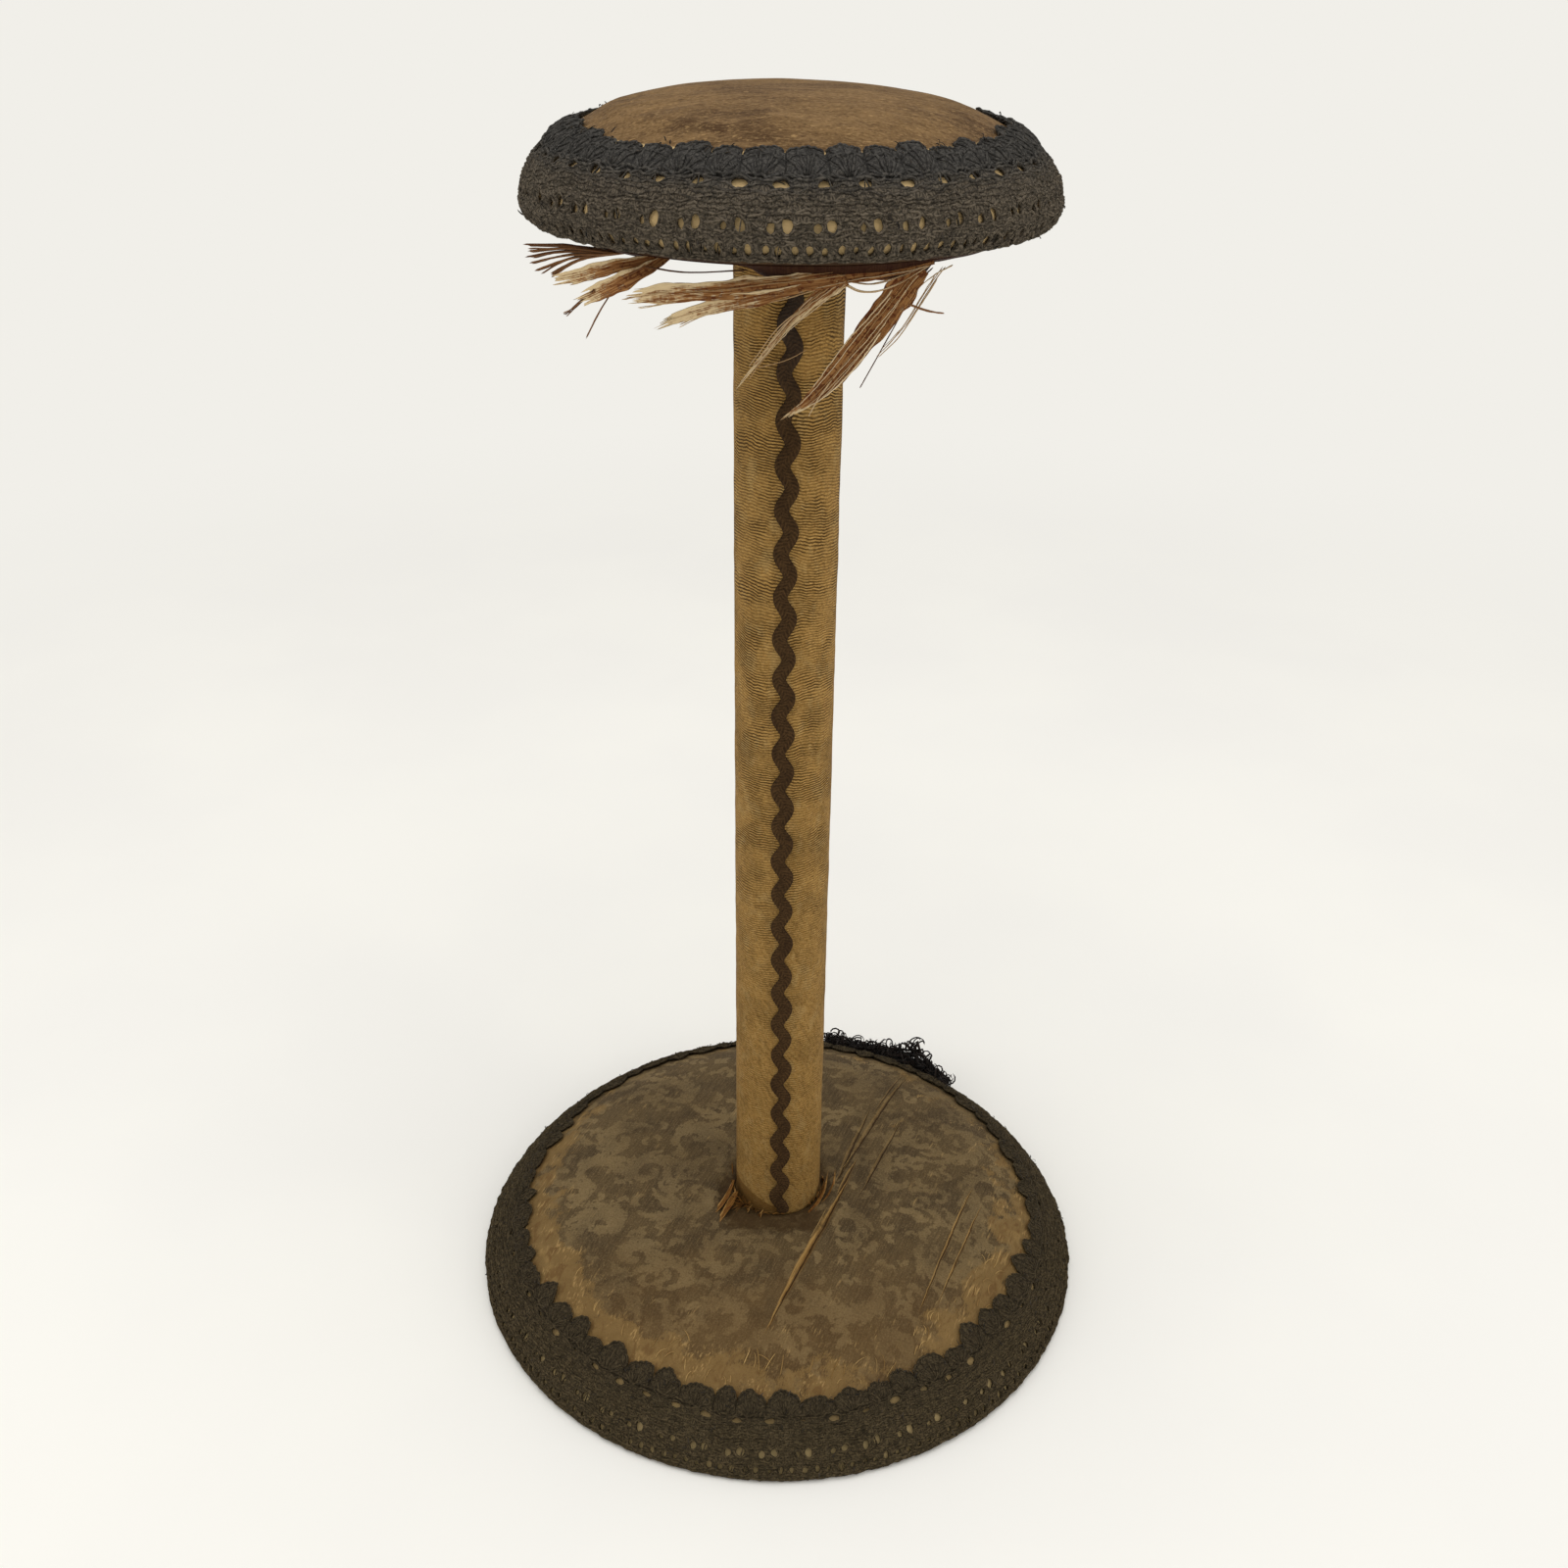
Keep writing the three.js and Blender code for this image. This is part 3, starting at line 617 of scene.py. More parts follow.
@dataclass(frozen=True)
class Finish:
    """What every finish has: its name, its main colours, and how rough it is."""

    name: str
    colour: Shade
    second: Shade
    rough: float = 0.8
    sheen: float = 0.0
    metallic: float = 0.0
    relief: float = 0.3

    def material(self) -> bpy.types.Material:
        """Builds the finish's material, the first time it is asked for.

        Returns:
            The material.
        """
        made = bpy.data.materials.get(self.name)
        if made:
            return made
        made = bpy.data.materials.new(self.name)
        made.use_nodes = True
        made.node_tree.nodes.clear()
        graph = Graph(made.node_tree)
        colour, height = self.paint(graph)
        rough = {"Strength": 1.0, "Distance": self.relief * MM, "Height": height}
        surface = {
            "Base Color": colour,
            "Normal": graph.value("ShaderNodeBump", rough),
            "Metallic": self.metallic,
            "Sheen Weight": self.sheen,
            "Sheen Roughness": 0.4,
            "Roughness": self.rough,
            "Specular IOR Level": 0.5 if self.metallic else 0.08,
        }
        graph.add("ShaderNodeOutputMaterial", {0: graph.value("ShaderNodeBsdfPrincipled", surface)})
        return made

    def two_tone(self, graph: Graph, share: Field) -> Field:
        """Mixes the finish's two main colours by a share."""
        return graph.blend(share, dye(self.colour), dye(self.second))

    def paint(self, graph: Graph) -> Look:
        """Paints a mottled surface: the two colours in blotches, with a fine grain.

        Args:
            graph: The material's graph.

        Returns:
            The colour and the height.
        """
        here = graph.here()
        mask = here.blotches(4.0, 0.25)
        fine = here.grain(0.4, 3)
        return self.two_tone(graph, (mask + fine) * 0.5), fine


@dataclass(frozen=True)
class Split:
    """A straight split in the foot's silk: its middle, direction, length, width, and how golden its threads
    are, which also sets how bright the painted highlight on its edge is.
    """

    x: float
    y: float
    degrees: float
    length: float
    width: float
    gilt: float

    @property
    def along(self) -> Array:
        """The split's direction, one unit long."""
        turn = math.radians(self.degrees)
        return np.array([math.cos(turn), math.sin(turn)])

    @property
    def aside(self) -> Array:
        """The direction across the split, one unit long."""
        along = self.along
        return np.array([along[1], -along[0]])


SPLITS = (
    Split(9.8, -28.0, 67.1, 66.0, 0.95, 0.85),
    Split(31.0, 27.9, 65.5, 66.0, 0.75, 0.12),
    Split(24.0, 16.7, 70.7, 38.0, 0.7, 0.12),
    Split(32.5, 11.1, 66.9, 40.0, 0.6, 0.1),
    Split(21.6, 2.0, 67.0, 18.0, 0.6, 0.5),
    Split(51.0, -24.0, 68.0, 56.0, 0.4, 0.6),
    Split(54.5, -27.0, 67.0, 44.0, 0.35, 0.6),
    Split(37.0, 45.0, 66.0, 30.0, 0.4, 0.1),
)


@dataclass(frozen=True)
class FiguredSilk(Finish):
    """The foot's damask: a dull ground, scrolls a little lighter, and a golden worn edge."""

    worn: Shade = (130, 103, 61)
    thread: Shade = (132, 98, 52)
    # the colour of the shade painted on the sunken silk round the post
    hollow: Shade = (58, 41, 21)
    warp: float = 67.0  # the warp's direction, in degrees from +X

    def paint(self, graph: Graph) -> Look:
        """Paints the woven figure, the wear, the splits, and painted shade on the sunken silk round the
        post.

        Args:
            graph: The material's graph.

        Returns:
            The colour and the height.
        """
        here = graph.here()
        spun = here.turned(90 - self.warp)
        ragged = here.grain(1.1, 4) - 0.5
        feather = spun.turned(0, (1, 0.3, 1)).grain(0.7, 3) - 0.5
        figure = graph.marked("figure") + ragged * 1.5 + feather * 1.5
        mask = figure.step(0.5, -0.1) * here.blotches(22.0, 0.15).step(0, 1, 0.5, 1.0)
        fine, ridge = spun.threads(0.34, 7.0)
        weft, _ = here.turned(-self.warp).threads(0.42, 2.6)
        speck = here.grain(0.5, 3)
        colour = graph.coats(
            self.two_tone(graph, mask),
            (fine * 0.24, (134, 113, 80)),
            (weft * 0.16, (58, 44, 26)),
            (here.blotches(15.0, 0.13) * 0.25, (56, 42, 24)),
            (here.turned(30).blotches(11.0, 0.13) * 0.16, (138, 114, 74)),
            (speck.step(0.52, 0.68, 0.0, 0.3), (50, 38, 22)),
            (speck.step(0.46, 0.32, 0.0, 0.25), (146, 124, 88)),
        )
        cloudy = here.grain(6.0, 6) - 0.5
        colour = graph.coats(colour, *self.wear(graph, here, spun, cloudy, ridge))
        height = ridge * 0.5 + mask * 0.2 + cloudy * 1.2
        colour, height = self.tear(graph, colour, height, here, spun)
        # Painted shade on the sunken silk round the post.
        sunk_shade = (graph.marked("hollow") + ragged * 1.1).step(0.15, 1.1, 0.0, 0.78)
        # Real gold kept under the braid, painted brighter than its own colour to make up for the braid's
        # shade: painted light.
        kept = graph.marked("kept") * 0.85
        return graph.coats(colour, (sunk_shade, self.hollow), (kept, (168, 147, 104))), height

    def wear(self, graph: Graph, here: Field, spun: Field, cloudy: Field, ridge: Field) -> Coats:
        """Plans the front's tint, the worn gold, its bruises, and the warp threads that it bares.

        Args:
            graph: The material's graph.
            here: The place on the silk.
            spun: The place, with Y along the warp.
            cloudy: Soft noise about 0.
            ridge: The height of the fine threads.

        Returns:
            The coats, from below.
        """
        worn = graph.marked("wear") + cloudy * 1.7 + (ridge - 1.0) * 0.55
        front = here.parts()[1] + cloudy * 40.0
        bruise = spun.turned(0, (1, 0.4, 1)).grain(2.4, 5, 0.6).step(0.52, 0.66)
        stroke = spun.turned(0, (1, 0.06, 1)).grain(0.55, 2).step(0.54, 0.68)
        bunch = here.grain(5.0, 2).step(0.46, 0.62)
        return (
            (front.step(-18.0, -62.0) * 0.32, (102, 74, 38)),
            (worn.step(0.42, 0.62, 0.0, 0.66), self.worn),
            (worn.step(1.0, 1.4, 0.0, 0.5), (160, 130, 80)),
            (bruise * worn.step(0.4, 0.8, 0.0, 0.55), (92, 64, 34)),
            (ridge.step(1.08, 1.25) * worn.step(0.3, 0.9, 0.15, 0.5), (88, 64, 36)),
            (stroke * bunch * worn.step(0.0, 0.5, 0.05, 0.6), (176, 144, 92)),
        )

    def tear(self, graph: Graph, colour: Field, height: Field, here: Field, spun: Field) -> Look:
        """Paints the splits: golden lips of bare warp, one lit edge as a painted highlight, and painted
        shade in the slit.

        Args:
            graph: The material's graph.
            colour: The colour so far.
            height: The height so far.
            here: The place on the silk.
            spun: The place, with Y along the warp.

        Returns:
            The colour and the height.
        """
        strands = spun.turned(0, (1, 0.05, 1)).grain(0.5, 2)
        for split in SPLITS:
            inputs = {"Vector": here, "Location": (split.x, split.y, 0), "Scale": (1, 1, 1)}
            inputs["Rotation"] = (0, 0, math.radians(split.degrees - 90))
            local = graph.value("ShaderNodeMapping", inputs, vector_type="TEXTURE")
            torn = graph.shared(split_group(), vector=local, length=split.length, width=split.width)
            colour = graph.coats(
                colour,
                (torn["lips"] * strands.step(0.4, 0.6, 0.35 * split.gilt, split.gilt), self.thread),
                # A painted highlight along one edge, brighter where the threads are more golden.
                (torn["light"] * (0.1 + 0.5 * split.gilt), (184, 146, 84)),
                # Painted shade in the slit.
                (torn["open"] * 0.9, (46, 29, 12)),
            )
            height = height - torn["open"]
        return colour, height


@dataclass(frozen=True)
class RibbedSilk(Finish):
    """The post's silk: fine raised ribs that sag, golden, with olive and brown patches."""

    rib: float = 0.74
    # the colour of the stains, also painted down the post's left and right sides as shade
    stain: Shade = (92, 62, 24)

    def paint(self, graph: Graph) -> Look:
        """Paints the ribs, the patches, the stains at the ends, and painted shade down the sides and in the
        grooves between the ribs.

        Args:
            graph: The material's graph.

        Returns:
            The colour and the height.
        """
        here = graph.here()
        x, y, height = here.parts()
        phase = graph.marked("phase") + here.turned(0, (1, 1, 0.5)).grain(3.2, 4) * 1.6
        rib = graph.math("SINE", phase * (TURN / self.rib)).step(-1.0, 0.35)
        depth = here.blotches(7.0, 0.16).step(0, 1, 0.45, 1.0) * height.step(50, 190, 0.4, 1.0)
        threads = here.turned(0, (1, 1, 5)).grain(1.3, 3)
        patch = here.turned(0, (1, 1, 0.45)).grain(7.0, 5, 0.2)
        pale = here.turned(0, (1, 1, 0.6)).grain(3.4, 5, 0.3)
        speck = here.turned(0, (1, 1, 2.2)).grain(0.8, 4)
        wisp = graph.vector(x + height * 0.55, y, height * 0.1).grain(0.8, 4, 0.5)
        bare = height.step(200, 60, 0.25, 1.0)
        pin = here.turned(0, (1, 1, 1.6)).grain(0.34, 2)
        colour = graph.coats(
            self.two_tone(graph, threads.step(0.3, 0.7)),
            (patch.step(0.5, 0.7, 0.0, 0.3), (108, 82, 40)),
            (pale.step(0.52, 0.68, 0.0, 0.5), (186, 154, 98)),
            (speck.step(0.53, 0.64, 0.0, 0.5), (88, 62, 28)),
            (bare * wisp.step(0.52, 0.66, 0.0, 0.42), (88, 65, 30)),
            (bare * wisp.step(0.44, 0.32, 0.0, 0.42), (176, 146, 90)),
            (pin.step(0.52, 0.66, 0.0, 0.34), (92, 66, 30)),
            (pin.step(0.46, 0.32, 0.0, 0.3), (200, 168, 110)),
            # Painted shade: the grooves between the ribs are painted dark.
            ((1.0 - rib) * depth * 0.95, (60, 41, 16)),
            (height.step(200, 30, 0.0, 0.26), (74, 54, 24)),
            # stains, darkening at the foot of the post, and painted shade down the left and right sides
            ((graph.marked("stain") + (patch - 0.5)).step(0.35, 0.8, 0.0, 0.7), self.stain),
        )
        return colour, rib * depth + threads * 0.4


@dataclass(frozen=True)
class PlainSilk(Finish):
    """The pad's silk: brown, streaked and blotched from use, golden where the braid kept it, that gold
    painted brighter as painted light, and painted dark as shade in the tuck under the braid.
    """

    # The gold kept under the braid, painted brighter than the silk's own gold to make up for the braid's
    # shade: painted light.
    kept: Shade = (212, 182, 130)

    def paint(self, graph: Graph) -> Look:
        """Paints the streaks, the blotches, the kept gold under the braid, brightened as painted light, and
        painted shade in the tuck below it.

        Args:
            graph: The material's graph.

        Returns:
            The colour and the height.
        """
        here = graph.here()
        streak = here.turned(3, (0.22, 1, 1)).grain(2.0, 6, 0.4)
        dark = here.turned(5, (0.3, 1, 1)).grain(4.6, 6, 0.5)
        fine, ridge = here.turned(90).threads(0.32, 4.0)
        fleck = here.turned(5, (0.45, 1, 1)).grain(0.8, 4)
        speck = here.turned(0, (0.6, 1, 1)).grain(0.5, 3)
        bright = here.turned(-12, (0.5, 1, 1)).grain(0.9, 3)
        kept = graph.marked("kept") + (streak - 0.5) * 0.5
        colour = graph.coats(
            self.two_tone(graph, streak.step(0.36, 0.64)),
            (dark.step(0.5, 0.66, 0.0, 0.55), (72, 50, 29)),
            (here.turned(-8, (0.6, 1, 1)).blotches(13.0, 0.14) * 0.4, (146, 115, 74)),
            (fine * 0.22, (146, 119, 82)),
            (fleck.step(0.57, 0.7, 0.0, 0.5), (58, 38, 22)),
            (speck.step(0.52, 0.66, 0.0, 0.4), (60, 40, 24)),
            (speck.step(0.46, 0.34, 0.0, 0.35), (158, 128, 88)),
            (bright.step(0.62, 0.72, 0.0, 0.6), (170, 138, 92)),
            # Real kept gold, painted brighter as painted light.
            (kept.step(0.4, 0.7), self.kept),
            # Painted shade: the silk tucked under the braid is painted nearly black.
            (kept.step(-0.5, -1.2), (40, 22, 14)),
            ((graph.marked("nick") - fine * 0.2).step(0.35, 0.6), (30, 20, 12)),
        )
        return colour, ridge * 0.6 + streak


@dataclass(frozen=True)
class CrochetYarn(Finish):
    """Black crochet yarn, greyed and browned by dust, with the scallops in a shade of their own."""

    rough: float = 0.95
    relief: float = 0.4
    scallop: Shade = (46, 46, 47)
    dust: Shade = (118, 106, 86)
    pitch: float = 1.45
    row: float = 1.25

    def paint(self, graph: Graph) -> Look:
        """Paints the stitches and the fuzz of the yarn, with painted shade where the yarn lies low.

        Args:
            graph: The material's graph.

        Returns:
            The colour and the height.
        """
        here = graph.here()
        across = graph.marked("across") + (here.grain(2.6, 3) - 0.5) * 3.0
        up = graph.marked("up") + (here.grain(1.7, 3) - 0.5) * 2.2
        stitches = graph.shared(stitch_group(), across=across, up=up, pitch=self.pitch, row=self.row)
        fuzz = here.grain(0.3, 3)
        yarn = graph.vector(across * 0.2, up, 0.0).grain(0.42, 3, 0.5)
        knots = here.grain(0.62, 3, 0.6)
        top = stitches["height"] * 0.36 + knots * 0.45 + yarn * 0.75
        heading = graph.marked("scallop")
        # Painted shade: the yarn is painted darker where it lies low between the stitches, on the band and
        # on the scallops.
        low = dye([value * 0.6 for value in self.scallop])
        shaded = graph.blend(top.step(0.42, 1.0), low, dye(self.scallop))
        colour = graph.blend(heading * 0.85, self.two_tone(graph, top.step(0.42, 1.0)), shaded)
        dusty = here.blotches(8.0, 0.2) * fuzz.step(0.52, 0.75, 0.0, 0.5) * (1.0 - heading * 0.7)
        return graph.coats(colour, (dusty, self.dust)), top + fuzz * 0.35


@dataclass(frozen=True)
class WovenBraid(Finish):
    """The ric-rac's flat braid: fine slanting strands that meet along its middle."""

    strand: float = 0.95

    def paint(self, graph: Graph) -> Look:
        """Paints the slanting strands and the fuzz.

        Args:
            graph: The material's graph.

        Returns:
            The colour and the height.
        """
        here = graph.here()
        phase = (graph.marked("along") + abs(graph.marked("across")) * 0.9) / self.strand
        wave = graph.math("SINE", phase * TURN).step(-0.8, 0.7)
        knots = here.grain(0.8, 3, 0.8)
        share = wave * 0.14 + knots * 0.6 + here.grain(0.3, 3) * 0.4
        colour = graph.coats(
            self.two_tone(graph, share.step(0.3, 0.85)),
            (here.turned(0, (1, 1, 0.3)).grain(5.0, 3).step(0.45, 0.7, 0.0, 0.4), (44, 30, 18)),
            (here.parts()[2].step(262, 296, 0.0, 0.6), (48, 44, 42)),
        )
        return colour, wave * 0.5 + knots * 1.2


@dataclass(frozen=True)
class LiningSilk(Finish):
    """The torn lining: brown silk whose pale warp threads show wherever it frays, painted nearly black as
    shade where its fray mark is below 0.
    """

    relief: float = 0.12
    pale: Shade = (214, 190, 148)

    def paint(self, graph: Graph) -> Look:
        """Paints the warp along the piece, the pale, frayed parts, and painted shade where the fray mark is
        below 0.

        Args:
            graph: The material's graph.

        Returns:
            The colour and the height.
        """
        fine, ridge = graph.vector(graph.marked("across"), graph.marked("along"), 0.0).threads(0.3, 6.0)
        spots = graph.here().grain(1.1, 4, 0.6)
        fray = graph.marked("fray")
        colour = graph.coats(
            self.two_tone(graph, fine),
            (spots.step(0.52, 0.62, 0.0, 0.8), (86, 40, 18)),
            # Painted shade: below 0, the fray mark paints the silk nearly black.
            (fray.step(0.0, -0.35, 0.0, 0.94), (40, 18, 11)),
            ((fray + (ridge - 1.0) + (spots - 0.5) * 0.8).step(0.4, 0.75), self.pale),
        )
        return colour, ridge


@dataclass(frozen=True)
class LooseThread(Finish):
    """Single threads, each one shade of its own between two colours."""

    relief: float = 0.05

    def paint(self, graph: Graph) -> Look:
        """Paints each thread in its own shade.

        Args:
            graph: The material's graph.

        Returns:
            The colour and the height.
        """
        fine = graph.here().grain(0.25, 2)
        return self.two_tone(graph, graph.marked("shade") + (fine - 0.5) * 0.5), fine


@dataclass(frozen=True)
class TurnedWood(Finish):
    """Plain turned wood, with rings and a grain."""

    def paint(self, graph: Graph) -> Look:
        """Paints the grain along one axis.

        Args:
            graph: The material's graph.

        Returns:
            The colour and the height.
        """
        here = graph.here()
        grain = here.turned(20, (1, 0.06, 1)).grain(1.1, 4, 0.4)
        wide = here.turned(20, (1, 0.1, 1)).grain(7.0, 3, 0.8)
        colour = self.two_tone(graph, grain.step(0.35, 0.7))
        return graph.coats(colour, (wide.step(0.4, 0.7, 0.0, 0.4), (112, 78, 46))), grain


class Dress(Enum):
    """The stand's finishes, by what they are on."""

    FOOT_SILK = FiguredSilk("figured silk", (70, 57, 38), (117, 99, 68), 0.7, relief=0.18)
    POST_SILK = RibbedSilk("ribbed silk", (156, 118, 61), (187, 147, 84), 0.75, relief=0.28)
    PAD_SILK = PlainSilk("plain silk", (72, 51, 31), (110, 85, 56), relief=0.2)
    FOOT_CROCHET = CrochetYarn("foot crochet", (42, 36, 25), (84, 72, 51), scallop=(74, 64, 47))
    PAD_CROCHET = CrochetYarn("pad crochet", (44, 40, 34), (104, 94, 80), scallop=(71, 70, 68))
    TANGLE = LooseThread("tangled crochet", (13, 11, 10), (40, 33, 28), 0.9, 0.1, relief=0.1)
    FUZZ = LooseThread("crochet fuzz", (24, 22, 20), (70, 62, 52), 0.9, 0.1, relief=0.1)
    RICRAC = WovenBraid("ric-rac braid", (42, 29, 16), (82, 60, 36), 0.95, relief=0.22)
    LINING = LiningSilk("lining silk", (112, 68, 36), (168, 122, 74), 0.75)
    WARP = LooseThread("lining threads", (150, 112, 66), (226, 204, 166), 0.6, 0.1)
    DARK_WARP = LooseThread("brown threads", (70, 40, 22), (138, 96, 58), 0.65, 0.1)
    GILT = LooseThread("golden threads", (120, 88, 44), (200, 166, 106), 0.6)
    FLAP = LiningSilk("torn silk flaps", (88, 56, 22), (130, 90, 40), pale=(160, 122, 70))
    RUST = LooseThread("torn silk ends", (48, 28, 12), (134, 92, 42))
    WADDING = Finish("cotton wadding", (206, 194, 165), (180, 164, 132), 1.0, 0.2, relief=0.5)
    PAPER = Finish("backing paper", (146, 124, 92), (126, 104, 74), 0.95, relief=0.08)
    WOOD = TurnedWood("turned wood", (176, 138, 90), (148, 110, 68), 0.7, relief=0.1)
    STEEL = Finish("screw steel", (120, 116, 108), (88, 80, 70), 0.42, metallic=1.0, relief=0.05)
    IRON = Finish("tack iron", (62, 57, 52), (84, 62, 44), 0.6, metallic=1.0, relief=0.08)


@dataclass
class Outline:
    """A turned shape's outline, read by the length along it from its lower edge up."""

    points: Array

    def __post_init__(self) -> None:
        """Measures the outline."""
        self.lengths = np.concatenate([[0], np.cumsum(np.hypot(*np.diff(self.points, axis=0).T))])
        runs = np.gradient(self.points, axis=0)
        runs /= np.hypot(*runs.T)[:, None] + 1e-9
        self.normals = np.column_stack([runs[:, 1], -runs[:, 0]])

    def at(self, along: Array, lift: Array | float = 0.0) -> tuple[Array, Array]:
        """Reads the outline.

        Args:
            along: Lengths from the lower edge.
            lift: How far off the outline, outwards.

        Returns:
            The radii and the heights.
        """
        columns = (*self.points.T, *self.normals.T)
        radius, height, out, up = (np.interp(along, self.lengths, column) for column in columns)
        return np.maximum(radius + out * lift, 0), height + up * lift

    def wrap(self, turn: Array, along: Array, lift: Array | float = 0.0) -> Array:
        """Places in space, from their turn from the back, their length along and their lift."""
        radius, height = self.at(along, lift)
        return ring(radius, TURN * turn + math.pi / 2, height)


def dome(radius: float, level: float, top: float, powers: tuple[float, float]) -> Array:
    """Draws a dome's outline, from its widest line up to its crown.

    Args:
        radius: The dome's radius.
        level: The height of its widest line.
        top: The height of its crown.
        powers: How square its curve is, across and up.

    Returns:
        The radii and heights, one pair per row.
    """
    angle = np.linspace(math.pi / 2, 0, 400)
    across = radius * np.sin(angle) ** (2 / powers[0])
    return np.column_stack([across, level + (top - level) * np.cos(angle) ** (2 / powers[1])])


@dataclass
class CrochetBraid:
    """A scalloped openwork braid, laid round a rim: one repeat is made, copied and shaped."""

    name: str
    node: str
    seat: str  # the cover that it lies on
    finish: Dress
    outline: Outline
    scallops: int
    seed: int
    start: float  # share of a repeat
    open_eyelets: float
    strays: int
    width: float = 21.3
    rise: float = 2.5
    edge: float = 0.12
    peak: float = 2.0
    small: float = 0.7
    uneven: float = 0.12
    rag: float = 0.5
    slack: float = 0.0
    heading: float = 15.8
    columns: int = 18
    rows: int = 38
    # centre across, centre up, half width and half height of each hole, widths in repeats
    eyelet: tuple[float, ...] = (0.5, 14.7, 0.18, 0.8)
    holes: tuple[tuple[float, ...], ...] = (
        (0.655, 6.9, 0.115, 1.3),
        (0.315, 6.5, 0.085, 1.0),
        (1 / 6, 2.6, 0.072, 1.0),
        (1 / 2, 2.4, 0.08, 1.1),
        (5 / 6, 2.6, 0.072, 1.0),
    )

    def __post_init__(self) -> None:
        """Draws each scallop's and each hole's own size."""
        chance = np.random.default_rng(self.seed)
        number = np.arange(self.scallops + 2)
        shift = chance.uniform(-self.uneven, self.uneven, self.scallops)
        self.bounds = number - 0.5 + shift[number % self.scallops]
        self.tall = chance.uniform(0.35, 1.6, self.scallops)
        self.lean = chance.uniform(-0.16, 0.16, self.scallops)
        self.pitch = TURN * float(self.outline.points[:, 0].max()) / self.scallops
        self.openings = []
        for place, hole in enumerate((self.eyelet, *self.holes)):
            size = chance.uniform(self.small if place else self.open_eyelets, 1.15, self.scallops)
            self.openings.append((hole, size, chance.uniform(-0.03, 0.03, self.scallops)))

    def repeat(self) -> Piece:
        """Makes one repeat, from the middle of one scallop to the middle of the next, with its holes.

        Returns:
            The repeat: X in repeats, Y the height up the braid.
        """
        piece, points = Bench.cloth(self.node + "_crochet", self.columns, self.rows)
        points[:, 1] *= self.width + self.rise
        Bench.place(piece, points, 1)
        across, up, _ = Bench.read(piece.data.polygons, "center", 3).T
        holes = (self.eyelet, *self.holes)
        gone = [np.hypot((across - x) / half_x, (up - y) / half_y) < 1 for x, y, half_x, half_y in holes]
        Bench.cut(piece, np.any(gone, axis=0))
        self.round_holes(piece)
        return piece

    def round_holes(self, piece: Piece) -> None:
        """Draws the points round each hole onto its oval.

        Args:
            piece: The repeat.
        """
        used = Bench.read(piece.data.loops, "edge_index", kind=int)
        open_edges = np.bincount(used, minlength=len(piece.data.edges)) == 1
        rim = np.unique(Bench.read(piece.data.edges, "vertices", 2, int)[open_edges])
        points = Bench.points(piece)
        for x, y, half_x, half_y in (self.eyelet, *self.holes):
            off = (points[rim, :2] - (x, y)) / (half_x, half_y)
            reach = np.hypot(*off.T)
            near = (reach < 1.9) & (reach > 0.01) & (points[rim, 1] > 0.01)
            near &= (points[rim, 0] > 0.001) & (points[rim, 0] < 0.999)
            points[rim[near], :2] = (x, y) + off[near] / reach[near, None] * (half_x, half_y)
        Bench.place(piece, points, 1)

    def drawn(self, turn: Array) -> Array:
        """The share of its width that the braid keeps where it is drawn down, at the sides and the back."""
        return 1 - self.slack * fade(np.cos(TURN * turn), -0.8, -0.15)

    def scallop_top(self, place: Array) -> tuple[Array, Array, Array]:
        """The scallops' outline, each one a little different.

        Args:
            place: Places along the braid, in repeats.

        Returns:
            The braid's height there, how near the middle of a scallop it is, from 0 to 1, and how
            far it lies to the side of that middle, in millimetres.
        """
        found = np.clip(np.searchsorted(self.bounds, place, side="right") - 1, 0, self.scallops)
        low, high = self.bounds[found], self.bounds[found + 1]
        index = found % self.scallops
        off = (2 * (place - low) / (high - low) - 1).clip(-1, 1)
        off = off + self.lean[index] * (1 - off**2)
        round_top = (1 - np.abs(off) ** self.peak).clip(0) ** (1 / self.peak)
        top = self.width + self.rise * self.tall[index] * round_top
        return top, round_top, (place - (low + high) / 2) * self.pitch

    def lay(self, place: Array, up: Array, proud: Array | float = 0.0) -> Array:
        """Lays places on the braid onto the rim, puffed and uneven as crochet is.

        Args:
            place: Places along the braid, in repeats.
            up: Heights up the braid.
            proud: How far off the braid's face they lie.

        Returns:
            The places in space, one per row.
        """
        top, middle, _ = self.scallop_top(place)
        turn = (place + self.start) / self.scallops
        spots = self.outline.wrap(turn, up)

        def noisy(size: float, step: int) -> Array:
            """Noise of the braid's own over the places."""
            return lumps(spots, size, self.seed + step)

        over = up - self.heading
        inside = fade(up, 0.2, 1.4) * fade(over, 1, 0)
        puff = np.sin(math.pi * (over / (top - self.heading + 0.01)).clip(0, 1) ** 0.8)
        lift = 0.95 + 0.26 * noisy(5.0, 0) + 0.3 * noisy(1.7, 1)
        lift += 0.8 * puff * middle**1.5 * (1 + 0.5 * noisy(1.9, 4))
        lift -= 0.35 * fade(up, 1.2, 0.0)
        lift += 0.1 * np.cos(TURN * up / 4.1) * fade(up, 15, 12)
        lift += 0.22 * np.cos(2 * TURN * place) * inside * fade(noisy(26, 9), 0.0, 0.3)
        height = up * self.drawn(turn)
        height += self.edge * fade(up, 3.0, 0.0) * noisy(2.4, 3)
        height += (0.35 * noisy(9.0, 2) + self.rag * noisy(20.0, 12)) * fade(up, 1, 12)
        height += (0.5 * noisy(1.5, 5) + self.rag * noisy(3.4, 10)) * fade(over, 1.5, 5)
        height += 0.24 * inside * noisy(1.2, 6)
        sway = place + 0.03 * inside * noisy(1.3, 7) + 0.04 * noisy(6.0, 8)
        return self.outline.wrap((sway + self.start) / self.scallops, height, lift.clip(0.7) + proud)

